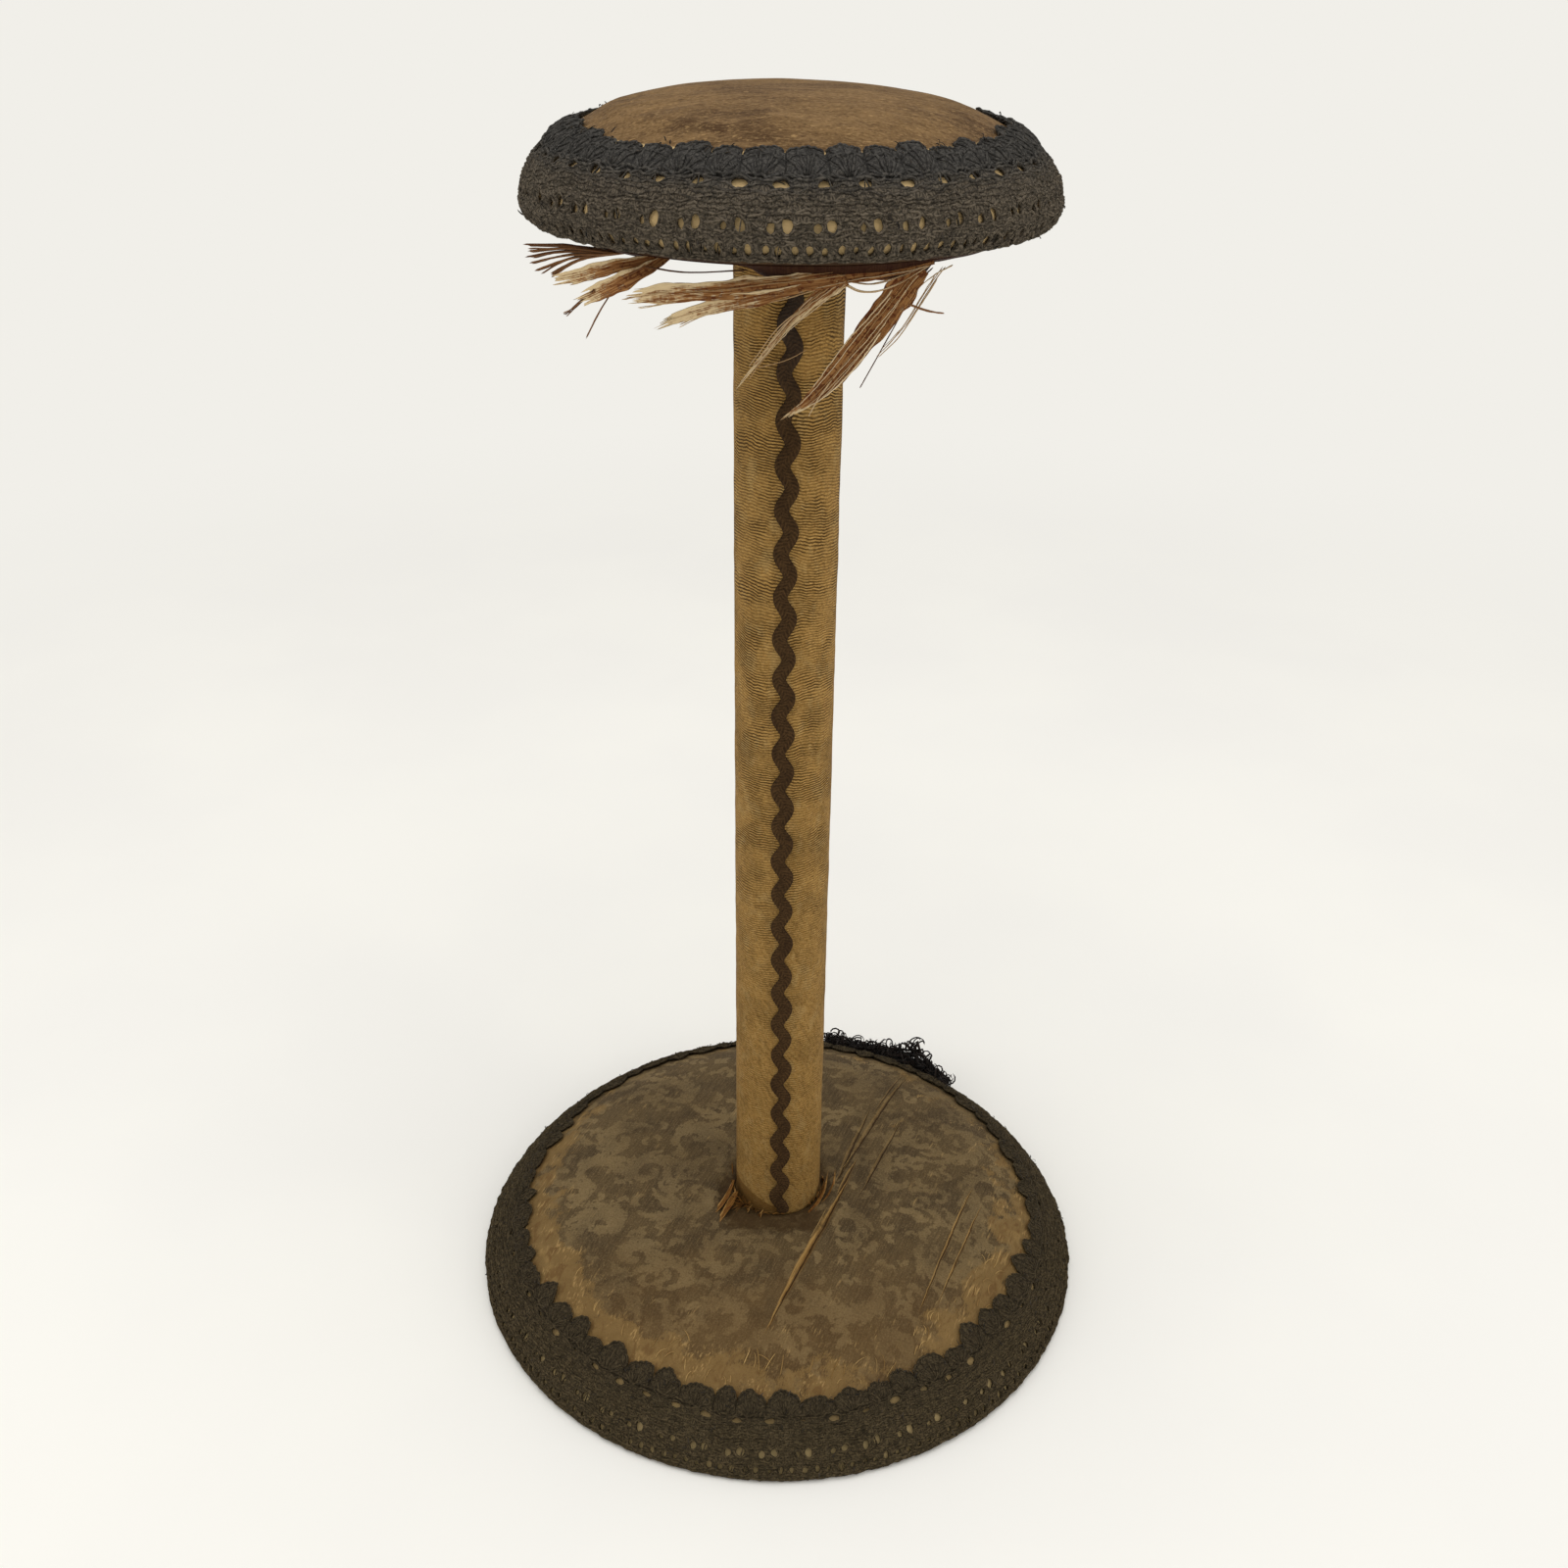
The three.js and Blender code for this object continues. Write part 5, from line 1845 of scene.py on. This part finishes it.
    def build_fray(self) -> None:
        """Makes the torn silk ends that stand and lie round the foot of the post."""
        chance = np.random.default_rng(8)
        steps = np.linspace(0, 1, 5)
        threads = []
        for middle, count, spread, lying, tall, thick in FRAYS:
            for _ in range(count):
                angle = math.radians(middle + chance.normal(0, spread / 2))
                length = chance.uniform(0.3, 1.0) * tall
                out = lying * chance.uniform(0.3, 1.0)
                reach = chance.uniform(13.75, 14.6) + steps * length * out
                rise = steps * length * (1 - out) + 0.25 * np.sin(math.pi * steps)
                swing = angle + chance.uniform(-0.18, 0.18) * steps
                plan = ring(reach, swing, rise)[:, :2]
                threads.append((self.on_silk(plan, rise - 0.6), chance.uniform(0.12, thick)))
        Bench.dress(Bench.strands("post_foot_fray", threads, 0.4), Dress.RUST, "figured_silk")

    def build_loose_end(self) -> None:
        """Makes the braid's loose end: a tangle of yarn loops on the rim at the back on the right."""
        chance = np.random.default_rng(14)
        threads = []
        last = len(CREST) - 1
        share = np.linspace(0, 1, 44)
        degrees, tall = CREST[(share * last).astype(int)].T
        for _ in range(34):
            phase, swing = chance.uniform(0, TURN), chance.uniform(0.5, 1.6)
            high = chance.uniform(0.1, 0.75)
            outwards, upwards, onwards = chance.normal(0, (0.35, 0.3, 0.3), (len(share), 3)).T
            out = 84.2 + 1.6 * np.sin(9 * share * swing + phase) + outwards + 2.0 * high
            rise = tall * high * (0.75 + 0.25 * np.sin(23 * share + phase)) + upwards
            line = ring(out, np.radians(degrees + onwards), self.rim_height + rise)
            threads.append((line, chance.uniform(0.3, 0.5)))
        for _ in range(250):
            degrees, tall = CREST[int(chance.random() * last)]
            height = tall * chance.random() ** 0.7
            out = 84.8 + chance.normal(0, 1.2) + 0.2 * height
            centre = ring(out, math.radians(degrees), self.rim_height + 0.2 + height)
            axis = Vector(chance.normal(0, 1, 3)).normalized()
            side = axis.orthogonal()
            size = chance.uniform(0.7, 1.7)
            spin = [Matrix.Rotation(a, 3, axis) @ side for a in np.linspace(0, chance.uniform(4, 6.6), 9)]
            drift = np.outer(np.linspace(-0.5, 0.5, 9), chance.normal(0, 0.8, 3))
            threads.append((centre + np.array(spin) * size + drift, chance.uniform(0.2, 0.36)))
        steps = np.linspace(0, 1, 6)[:, None]
        for _ in range(70):
            degrees = chance.uniform(46, 62) if chance.random() < 0.75 else chance.uniform(62, 79)
            tall = float(np.interp(-degrees, -CREST[:, 0], CREST[:, 1]))
            out = 85 + chance.normal(0, 1.2)
            root = ring(out, math.radians(degrees), self.rim_height + tall * chance.random())
            aim = np.array([chance.normal(0, 0.5), chance.normal(0.3, 0.5), chance.uniform(0.2, 1)])
            curl = chance.normal(0, 0.8, 3)
            length = chance.uniform(1.2, 3.4)
            line = root + aim * steps * length + curl * steps**2 * length * 0.6
            threads.append((line, chance.uniform(0.14, 0.26)))
        piece = Bench.strands("braid_loose_end", threads, 0.8)
        Bench.dress(piece, Dress.TANGLE, "crochet", "base_braid_tail")

    def build(self) -> None:
        """Builds the foot."""
        self.build_silk()
        self.build_wadding()
        self.braid.build(seed=31)
        self.build_split_threads()
        self.build_fray()
        self.build_loose_end()


@dataclass
class Post:
    """The covered post: the ribbed silk and the ric-rac over its seam."""

    radius: float = 13.0
    silk: float = 0.5
    low: float = 19.65
    high: float = 308.2
    columns: int = 132
    rows: int = 268
    swing: float = 1.14
    wave: float = 10.8
    braid: float = 3.6
    braid_depth: float = 0.95
    braid_low: float = 22.3
    braid_high: float = 305.5
    start: float = 0.19

    def build_silk(self) -> None:
        """Wraps the ribbed silk round the post, with soft slanting creases."""
        piece, points = Bench.cloth("post_silk_wrap", self.columns, self.rows)
        angle = TURN * points[:, 0] + math.pi / 2  # the mesh closes at the back
        height = self.low + (self.high - self.low) * points[:, 1]
        flat = ring(self.radius, angle, height)
        x, y, _ = flat.T
        slant = np.column_stack([x, y, height * 2.4 - x * 1.3])
        crease = 0.07 * lumps(slant, 9, 1) + 0.12 * lumps(slant, 26, 2) + 0.03 * lumps(flat, 3, 4)
        radius = self.radius - 0.12 + crease * fade(height, self.low, self.low + 8)
        radius += 0.12 * fade(height, 27, 21) * lumps(flat, 5, 6)
        Bench.place(piece, ring(radius, angle, height))
        sag = 2.1 * lumps(flat * (1, 1, 0.45), 16, 8) + 0.8 * lumps(flat, 7, 9)
        sag += 0.11 * x * np.sin(height / 31)
        curve = 22.9 + 4.6 * fade(x, 0.5, -11.5) + 0.5 * lumps(flat, 4, 15)
        # Real stains low on the left, darkening at the foot of the post, and painted shade down the left
        # and right sides as seen from the front.
        stain = 1.1 * fade(height, curve + 1.0, curve - 0.6) * fade(x, 2.5, -1.5) * fade(y, 4, -2)
        stain += 0.4 * fade(height, 26, 21) + 0.45 * fade(np.abs(x), 11.2, 13)
        Bench.mark(piece, phase=height + sag, stain=stain)
        Bench.weld(piece)
        Bench.thicken(piece, self.silk)
        Bench.dress(piece, Dress.POST_SILK, "ribbed_silk", "post_silk")

    def build_ricrac(self) -> None:
        """Lays the ric-rac up the front of the post, its edges rounded and its bends a little uneven."""
        piece, points = Bench.cloth("ricrac_braid", 8, 560)
        side = points[:, 0] * 2 - 1
        length = self.braid_high - self.braid_low
        rise = points[:, 1] * length
        drift = 0.35 * np.sin(rise / 23) + 0.2 * np.sin(rise / 9.1)
        phase = TURN * ((rise + drift) / self.wave + self.start)
        slope = self.swing * TURN * np.cos(phase) / self.wave
        reach = side * self.braid / 2 * (1 + 0.05 * np.sin(rise / 3.7)) / np.hypot(slope, 1)
        x = self.swing * np.sin(phase) + 0.15 + 0.35 * np.sin(rise / 47 + 1) + reach
        ends = fade(rise, 0, 3) * fade(rise, length, length - 3)
        height = (self.braid_low + rise - reach * slope * ends).clip(22.1, 305.7)
        rounding = self.braid_depth * (1 - side**4) ** 0.5
        lift = 0.35 + rounding + 0.06 * np.cos(TURN * rise / 1.15 + 2 * np.abs(side))
        Bench.place(piece, ring(self.radius + lift, x / self.radius - math.pi / 2, height))
        Bench.mark(piece, across=side * self.braid / 2, along=rise)
        Bench.weld(piece, 1e-4)
        Bench.thicken(piece, 0.3)
        Bench.dress(piece, Dress.RICRAC, "ricrac", "post_ricrac")

    def build(self) -> None:
        """Builds the post's pieces."""
        self.build_silk()
        self.build_ricrac()


@dataclass
class Pad:
    """The stuffed pad: its silk cover, its stuffing and its braid."""

    radius: float = 58.55
    level: float = 313.15
    crown: float = 22.85
    powers: tuple[float, float] = (2.2, 2.1)
    tuck_width: float = 9.65
    tuck_depth: float = 5.5
    hem_width: float = 7.0
    silk: float = 0.55
    turns: int = 260

    def __post_init__(self) -> None:
        """Draws the outlines of the braid's seat and of the whole cover."""
        angle = np.linspace(math.pi / 2, 0, 60)[:-1]
        inwards, down = self.tuck_width * (1 - np.cos(angle)), self.tuck_depth * np.sin(angle)
        tuck = np.column_stack([self.radius - inwards, self.level - down])
        over = dome(self.radius, self.level, self.level + self.crown, self.powers)
        hem = [[tuck[0, 0] - self.hem_width, tuck[0, 1]]]
        self.cover = Outline(np.vstack([hem, tuck, over]))
        self.braid = CrochetBraid(
            name="pad_braid",
            node="pad_braid",
            seat="pad_silk_cover",
            finish=Dress.PAD_CROCHET,
            outline=Outline(np.vstack([tuck[angle < math.radians(35.2)], over])),
            scallops=42,
            seed=9,
            start=0.28,
            open_eyelets=0.8,
            strays=300,
            eyelet=(0.5, 14.5, 0.2, 1.0),
        )

    def build_silk(self) -> None:
        """Makes the silk cover, drawn in a little at the braid and rubbed flat on top."""
        whole = self.cover.lengths[-1]
        stations = np.concatenate([[0, 3.5, 7], np.arange(9, whole - 1, 1.15), [whole]])
        piece, points = Bench.cloth("pad_silk_cover", self.turns, len(stations) - 1)
        turn, along = points[:, 0], stations[row_of(points, len(stations) - 1)]
        flat = self.cover.wrap(turn, along)
        x, y, _ = flat.T
        reach = np.hypot(x, y)
        top = fade(along, 40, 50)
        rough = 0.3 * lumps(flat, 13, 1) + 0.12 * lumps(flat * (0.4, 1, 1), 4, 2) - 0.15
        lift = top * fade(reach, 1, 9) * rough
        lift += top * (0.95 - 0.01 * x) * bell(reach, 38, 9) - 0.5 * bell(reach, 0, 16)
        lift += 0.08 * np.sin(TURN * self.braid.scallops * turn) * bell(along, 46, 4)
        Bench.place(piece, self.cover.wrap(turn, along, lift))
        stitch = 45.2 + 1.4 * np.cos(TURN * self.braid.scallops * turn)
        Bench.mark(
            piece,
            # Real gold kept under the braid, its brightness painted light; below 0 in the tuck it paints
            # shade.
            kept=fade(along, 41, 37) - 2 * fade(along, 15.6, 14.4),
            nick=bell(x, 1.2, 1.6) * bell(y, 42, 1.3),
            held=fade(along, stitch + 1, stitch),
        )
        Bench.weld(piece)
        Bench.settle(piece, Bench.read(piece.data.attributes["held"].data, "value"), 0.9)
        Bench.thicken(piece, self.silk)
        Bench.dress(piece, Dress.PAD_SILK, "plain_silk", "pad_silk")

    def build_stuffing(self) -> None:
        """Makes the domed wadding on the board."""
        low, high = (np.array(corner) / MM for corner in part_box("pad_stuffing"))
        angle = np.linspace(0, math.pi / 2, 14)
        reach, floor = high[0] - 0.8, low[2]
        rise = (high[2] - floor - 0.5) * np.sin(angle)
        over = np.column_stack([reach * np.cos(angle) ** 0.9, floor + rise])
        profile = np.vstack([[[0, floor + 0.05], [reach * 0.5, floor + 0.05]], over])
        profile[-1, 0] = 0
        piece, points = Bench.cloth("pad_stuffing_dome", 72, len(profile) - 1)
        radius, height = profile[row_of(points, len(profile) - 1)].T
        solid = ring(radius, TURN * points[:, 0], height)
        solid[:, :2] *= 1 - 0.008 * (1 + lumps(solid, 11, 3))[:, None]
        Bench.place(piece, solid)
        Bench.weld(piece, 0.01)
        Bench.dress(piece, Dress.WADDING, "wadding", "pad_stuffing")

    def build(self) -> None:
        """Builds the pad."""
        self.build_silk()
        self.build_stuffing()
        self.braid.build(seed=32)


SHREDS = (
    Shred(
        "lining_shred_band", "lining_band_front",
        ((29.0, -40.5, 307.0), (20.3, -44.2, 305.6), (12.5, -46.6, 305.2), (4.7, -48.4, 304.4),
         (-3.1, -49.2, 303.6), (-10.8, -49.4, 302.8), (-17.6, -49.0, 302.2), (-24.5, -48.0, 301.5),
         (-31.4, -46.8, 300.6)),
        (1.2, 2.0, 2.8, 3.6, 4.2, 4.0, 3.8, 3.8, 2.6), fray=0.0, pale_from=1.6, columns=18, rows=84,
    ),
    Shred(
        "lining_shred_tongue", "",
        ((4.0, -48.6, 303.4), (-3.4, -49.6, 301.8), (-10.0, -49.6, 300.4), (-16.4, -48.6, 298.8),
         (-21.6, -47.6, 297.0), (-25.0, -46.8, 295.4)),
        (1.2, 2.4, 3.0, 2.8, 2.4, 1.8), fray=0.5, pale_from=1.2, twist=0.3, rows=48,
    ),
    Shred(
        "lining_shred_right", "lining_strip_right",
        ((26.6, -41.0, 305.8), (23.5, -40.6, 302.0), (19.6, -39.4, 296.3), (15.0, -37.2, 289.4),
         (9.4, -34.6, 281.6), (4.5, -32.2, 276.0), (0.4, -30.4, 272.4)),
        (3.4, 5.6, 6.4, 5.6, 4.2, 2.6, 0.6),
        fray=0.0, pale_edge=0.35, pale_side=-1.0, pale_from=5.0, curl=0.35, twist=0.25, columns=18, rows=84,
    ),
    Shred(
        "lining_shred_middle", "lining_strip_middle",
        ((10.8, -47.4, 304.9), (7.9, -46.4, 302.4), (4.4, -44.6, 299.2), (0.4, -42.0, 294.8),
         (-3.8, -39.6, 289.2), (-7.0, -37.6, 284.8), (-10.2, -35.6, 280.4)),
        (3.8, 3.2, 2.2, 1.5, 0.9, 0.6, 0.4),
        fray=0.3, pale_side=-1.0, pale_from=1.0, curl=0.4, twist=0.3, columns=8, rows=60,
    ),
    Shred(
        "lining_shred_left", "lining_strip_left",
        ((-25.0, -39.6, 307.2), (-29.6, -41.0, 306.2), (-35.0, -41.8, 305.4), (-40.7, -41.2, 303.8),
         (-46.8, -40.2, 302.2)),
        (1.6, 2.0, 2.8, 3.2, 2.8), pale_from=1.5,
    ),
    Shred(
        "lining_shred_left_lower", "lining_strip_left_lower",
        ((-24.6, -40.6, 307.2), (-28.4, -42.6, 305.2), (-33.2, -43.4, 303.0), (-37.6, -42.0, 300.8),
         (-42.6, -40.4, 298.4)),
        (1.6, 2.4, 3.4, 3.6, 2.6), pale_edge=0.6, curl=0.4,
    ),
)

# the pale threads that hang out of the torn edges, each drawn twice
PALE_TIPS = (
    ((-24, -48, 301.6), (-29.5, -46.8, 300.6), (-33.4, -46, 299.6)),
    ((-22, -48, 300.0), (-27.5, -47, 298.6), (-30.6, -46.4, 298.0)),
    ((6.6, -47.8, 303.4), (-1.1, -49, 301.2), (-8.9, -49, 299.6), (-16.7, -48, 298.3), (-21.2, -47, 297.2)),
    ((-4, -49, 302.0), (-12, -49, 299.8), (-19.5, -47.8, 297.2), (-24.4, -46.8, 295.4)),
    ((0, -49, 301.8), (-9, -49, 300.2), (-17.4, -48, 297.6), (-22.6, -47, 295.0)),
    ((11, -46.5, 304.2), (16.5, -45.5, 303.4), (22, -43.4, 304.4), (27.4, -41.2, 306.0)),
    ((9.7, -47, 304), (15, -45.4, 301.8), (21, -43.6, 302.8), (28.4, -40.6, 306.4)),
    ((4.2, -44.6, 299), (-1.4, -42.6, 294.2), (-5.6, -40.4, 288.2), (-7.8, -39, 285.0)),
    ((9.4, -34.8, 281.4), (6.4, -33.6, 276.8), (4.4, -32.4, 272.6)),
    ((29.6, -41, 304.2), (26.6, -40.6, 299.0), (22.6, -39.6, 292.2), (18.4, -37.6, 286.8)),
    ((31.4, -40.4, 306.0), (28.4, -40.4, 301.4), (24.6, -39.6, 294.8), (19.6, -38, 288.4)),
    ((33.0, -39.6, 306.0), (29.6, -40.6, 304.4), (25.4, -41, 301.0)),
)
CROSSING = ((-6.4, -40.4, 285.0), (-2.6, -40.0, 285.9), (0.8, -39.6, 287.0), (3.8, -39.2, 288.6))

# where the threads of the tuft at the far left end, X and Z
TUFT_ENDS = ((-54.6, 306.2), (-54.4, 305.2), (-54.9, 303.9), (-54.2, 302.6), (-53.4, 301.0), (-50.2, 300.6))

# the single brown threads, each drawn twice
BROWN_THREADS = (
    ((-29, -44, 305.8), (-33.8, -43, 302.6), (-38.2, -41, 297.0), (-42.2, -39, 290.0)),
    ((-39.4, -41.6, 300.6), (-43.0, -39.8, 297.6), (-46.2, -38.4, 294.6)),
    ((-40.4, -41, 300.0), (-44.2, -39.4, 296.4), (-46.6, -38.2, 295.0)),
    (
        (28.9, -41, 305.8), (25.9, -39.6, 301.8), (21.8, -37.8, 293.2), (16.2, -35.6, 281.6),
        (15.2, -35, 279.6),
    ),
    ((24.2, -41.4, 298.6), (28.2, -42, 297.4), (31.6, -42.4, 297.0)),
    ((-29, -43, 305.6), (-20, -44, 304.8), (-8, -44.6, 305.6)),
)


@dataclass
class TornLining:
    """The pad's lining, torn away in front, and what hangs from it."""

    seam: float = 50.3
    hole: float = 13.5
    height: float = 306.1
    seam_height: float = 307.5
    torn_from: float = -126.0
    torn_to: float = -52.0
    torn_inner: float = 45.9
    sag: float = 3.0
    turns: int = 200
    rings: int = 26

    def build_lining(self) -> Piece:
        """Makes the lining: a disc round the post, its front torn away to a ragged, sagging edge.

        Returns:
            The lining.
        """
        piece, points = Bench.cloth("pad_lining_silk", self.turns, self.rings)
        degrees = points[:, 0] * 360 - 180
        angle = np.radians(degrees)
        torn = fade(degrees, self.torn_from - 1.5, self.torn_from + 1.5)
        torn *= fade(degrees, self.torn_to + 1.5, self.torn_to - 1.5)
        circle = ring(1.0, angle, np.zeros_like(angle))
        ragged = 0.9 * lumps(circle, 0.05, 4) + 0.5 * lumps(circle, 0.017, 5)
        inner = self.hole + (self.torn_inner - self.hole + ragged) * torn
        radius = inner + (self.seam - inner) * points[:, 1]
        flat = circle * radius[:, None]
        low = fade(flat[:, 0], -12, -2) * fade(flat[:, 0], 33, 27)
        tight = np.maximum(fade(radius, 46.5, self.seam), torn * (1 - low))
        drop = torn * self.sag * (1 - points[:, 1]) * low * (0.8 + 0.2 * lumps(circle, 0.3, 6))
        free = fade(radius, self.seam, self.seam - 4) * fade(radius, self.hole, self.hole + 4)
        ripple = 0.22 * lumps(flat, 7, 7) * free
        flat[:, 2] = self.height + (self.seam_height - self.height) * tight - drop + ripple
        Bench.place(piece, flat)
        # Painted shade: the mark stays below 0 over the whole lining under the pad, which paints it nearly
        # black, and comes up a little at the torn edge.
        fray = torn * fade(radius, inner + 1.2, inner) * 0.3 - 0.4
        Bench.mark(piece, across=flat[:, 0], along=flat[:, 1], fray=fray)
        Bench.weld(piece)
        Bench.thicken(piece, 0.35, 0.0)
        return Bench.dress(piece, Dress.LINING, "lining_silk", "pad_lining")

    @staticmethod
    def thread(points: Sequence[Sequence[float]], wobble: float, chance: Chance) -> Array:
        """Runs one loose thread through a few places, a little uneven.

        Args:
            points: The places.
            wobble: How uneven it is.
            chance: The source of what is random.

        Returns:
            The thread's line.
        """
        line = smooth_path(points, 9 + 5 * len(points))
        line[1:] += np.cumsum(chance.normal(0, wobble, (len(line) - 1, 3)), axis=0) * 0.3
        return line

    def build_pale_threads(self) -> Piece:
        """Makes the pale warp threads along the strips and out of their ends.

        Returns:
            The threads.
        """
        chance = np.random.default_rng(5)
        threads = []
        band, _, right, middle = SHREDS[:4]
        for shred, count, spread in ((right, 7, 0.44), (middle, 4, 0.5), (band, 4, 0.5)):
            line, width = smooth_path(shred.path, 60), along_path(shred.widths, 60)
            sideways, down = (0.1, 0.95) if shred is band else (0.78, 0.6)
            for _ in range(count):
                off = chance.uniform(-spread, spread)
                run = np.arange(int(chance.uniform(0, 26)), int(chance.uniform(38, 60)), 4)
                aside = off * (1 + 0.25 * np.sin(run / 7 + chance.uniform(0, 6))) * width[run]
                nearer = np.full(len(run), -chance.uniform(0.3, 0.8))
                path = line[run] + np.column_stack([aside * sideways, nearer, -aside * down])
                radius = chance.uniform(0.08, 0.2)
                threads.append((self.thread(path, 0.12, chance), radius))
        for path in PALE_TIPS:
            for _ in range(2):
                shift, radius = chance.normal(0, 0.25, 3), chance.uniform(0.1, 0.18)
                threads.append((self.thread(np.array(path) + shift, 0.08, chance), radius))
        threads.append((self.thread(CROSSING, 0.05, chance), 0.12))
        return Bench.dress(Bench.strands("lining_pale_threads", threads, 0.6), Dress.WARP, "lining_silk")

    def build_brown_threads(self) -> Piece:
        """Makes the brown threads: the tuft at the far left, and the single ones below.

        Returns:
            The threads.
        """
        chance = np.random.default_rng(6)
        threads = []
        for x, z in TUFT_ENDS:
            for _ in range(3):
                start = np.array([-35, -30, 305.9]) + (*chance.normal(0, (1, 0.5)), 0)
                middle = ((x - 38) / 2, -28.4, (z + 306.4) / 2 + 0.5)
                end = (x, -26.6, z) + chance.normal(0, (0.5, 0.4, 0.3))
                radius = chance.uniform(0.2, 0.36)
                threads.append((self.thread((start, middle, end), 0.08, chance), radius))
        for path in BROWN_THREADS:
            for _ in range(2):
                shift, radius = chance.normal(0, 0.12, 3), chance.uniform(0.12, 0.2)
                threads.append((self.thread(np.array(path) + shift, 0.05, chance), radius))
        piece = Bench.strands("lining_brown_threads", threads, 0.7)
        return Bench.dress(piece, Dress.DARK_WARP, "lining_silk", "lining_thread_left", "lining_tuft_left")

    def build(self) -> None:
        """Builds the lining, its strips and its threads."""
        lining = self.build_lining()
        strips = [shred.build(40 + number) for number, shred in enumerate(SHREDS)]
        strips += [self.build_pale_threads(), self.build_brown_threads()]


@dataclass(frozen=True)
class StudioPaper(Finish):
    """The pale floor, nearly white and a little uneven, which goes over into the background."""

    near: float = 420.0
    far: float = 900.0

    def paint(self, graph: Graph) -> Look:
        """Paints faint, wide clouds in the paper."""
        here = graph.here()
        return self.two_tone(graph, here.grain(160.0, 3).step(0.35, 0.65)), here.grain(2.0, 2)

    def material(self) -> bpy.types.Material:
        """Builds the paper's material: plain background far from the stand, and clear from below.

        Returns:
            The material.
        """
        made = super().material()
        graph = Graph(made.node_tree)
        paper = next(node for node in made.node_tree.nodes if node.type == "BSDF_PRINCIPLED")
        out = next(node for node in made.node_tree.nodes if node.type == "OUTPUT_MATERIAL")
        reach = graph.value("ShaderNodeVectorMath", {0: graph.here()}, "Value", operation="LENGTH")
        share = reach.step(self.near, self.far) * seen_ray(graph)
        glow = graph.value("ShaderNodeEmission", {"Color": BACKGROUND})
        mixed = graph.value("ShaderNodeMixShader", {0: share, 1: paper.outputs[0], 2: glow})
        below = graph.value("ShaderNodeNewGeometry", output="Backfacing")
        clear = graph.value("ShaderNodeBsdfTransparent")
        graph.feed(out.inputs[0], graph.value("ShaderNodeMixShader", {0: below, 1: mixed, 2: clear}))
        return made


@dataclass
class Studio:
    """The camera, the lamps and the pale paper that the stand stands on."""

    eye: Place = (0.0, -368.02, 368.17)
    right: Place = (0.99992, 0.00581, 0.01158)
    up: Place = (-0.01294, 0.48584, 0.87395)
    ahead: Place = (0.00055, 0.87403, -0.48587)
    lens: float = 36.05
    paper: StudioPaper = StudioPaper("studio paper", (250, 248, 241), (247, 245, 239), 0.9, relief=0.02)

    def set_camera(self) -> None:
        """Sets the camera where the photograph was taken from."""
        bpy.ops.object.camera_add()
        camera = bpy.context.object
        camera.data.lens, camera.data.sensor_width = self.lens, 36.0
        camera.data.clip_start = 0.01
        axes = Matrix((self.right, self.up, [-value for value in self.ahead])).transposed()
        camera.matrix_world = Matrix.Translation(Vector(self.eye) * MM) @ axes.to_4x4()
        bpy.context.scene.camera = camera

    def lay_paper(self) -> None:
        """Lays the floor, just below what stands on it."""
        Bench.clear()
        sizes = {"x_subdivisions": 24, "y_subdivisions": 24, "size": 12}
        bpy.ops.mesh.primitive_grid_add(location=(0, 0, -0.0002), **sizes)
        floor = bpy.context.object
        floor.name = "studio_paper"
        bpy.ops.object.transform_apply(location=True, rotation=True, scale=True)
        floor.data.materials.append(self.paper.material())

    def hang_lamps(self) -> None:
        """Hangs a wide lamp over the stand and one on each side, and lights the room softly."""
        # where each hangs and how wide it is, in metres, its power in watts and its name
        lamps = (
            ((0.0, -0.35, 1.75), 1.6, 12.6, "over"),
            ((-1.5, -0.5, 0.95), 1.1, 4.6, "left"),
            ((1.5, -0.7, 0.95), 1.1, 5.8, "right"),
        )
        for place, size, power, name in lamps:
            bpy.ops.object.light_add(type="AREA", location=place)
            lamp = bpy.context.object
            lamp.name = name + "_lamp"
            lamp.data.energy, lamp.data.size = power, size
            lamp.rotation_euler = (Vector((0, 0, 0.12)) - Vector(place)).to_track_quat("-Z", "Y").to_euler()
        world = bpy.data.worlds.new("soft room")
        world.use_nodes = True
        world.node_tree.nodes.clear()
        graph = Graph(world.node_tree)
        colour = graph.blend(seen_ray(graph), (0.58, 0.577, 0.571, 1), BACKGROUND)
        graph.add("ShaderNodeOutputWorld", {0: graph.value("ShaderNodeBackground", {"Color": colour})})
        bpy.context.scene.world = world

    def build(self) -> None:
        """Sets the scene."""
        Bench.clear()
        self.set_camera()
        self.lay_paper()
        self.hang_lamps()
        bpy.context.scene.view_settings.view_transform = "Standard"


def dress_frame() -> None:
    """Gives the CAD nodes that stay their finishes."""
    kept = {
        Dress.WOOD: ["base_block", "post_dowel", "pad_board"],
        Dress.PAPER: ["base_lining"],
        Dress.STEEL: ["base_screw", "pad_screw"],
        Dress.IRON: [f"{end}_tack_{i}" for end in ("base", "pad") for i in range(1, 7)],
    }
    for finish, nodes in kept.items():
        for node in nodes:
            piece = bpy.data.objects[node]
            piece.data.materials.clear()
            piece.data.materials.append(finish.value.material())


def main() -> None:
    """Builds the stand and its studio."""
    logging.basicConfig(level=logging.INFO, format="%(name)s: %(message)s")
    for part in (Studio(), Foot(), Post(), Pad(), TornLining()):
        part.build()
        log.info("%s is built", type(part).__name__)
    dress_frame()
    Bench.clear()


if __name__ == "__main__":
    main()
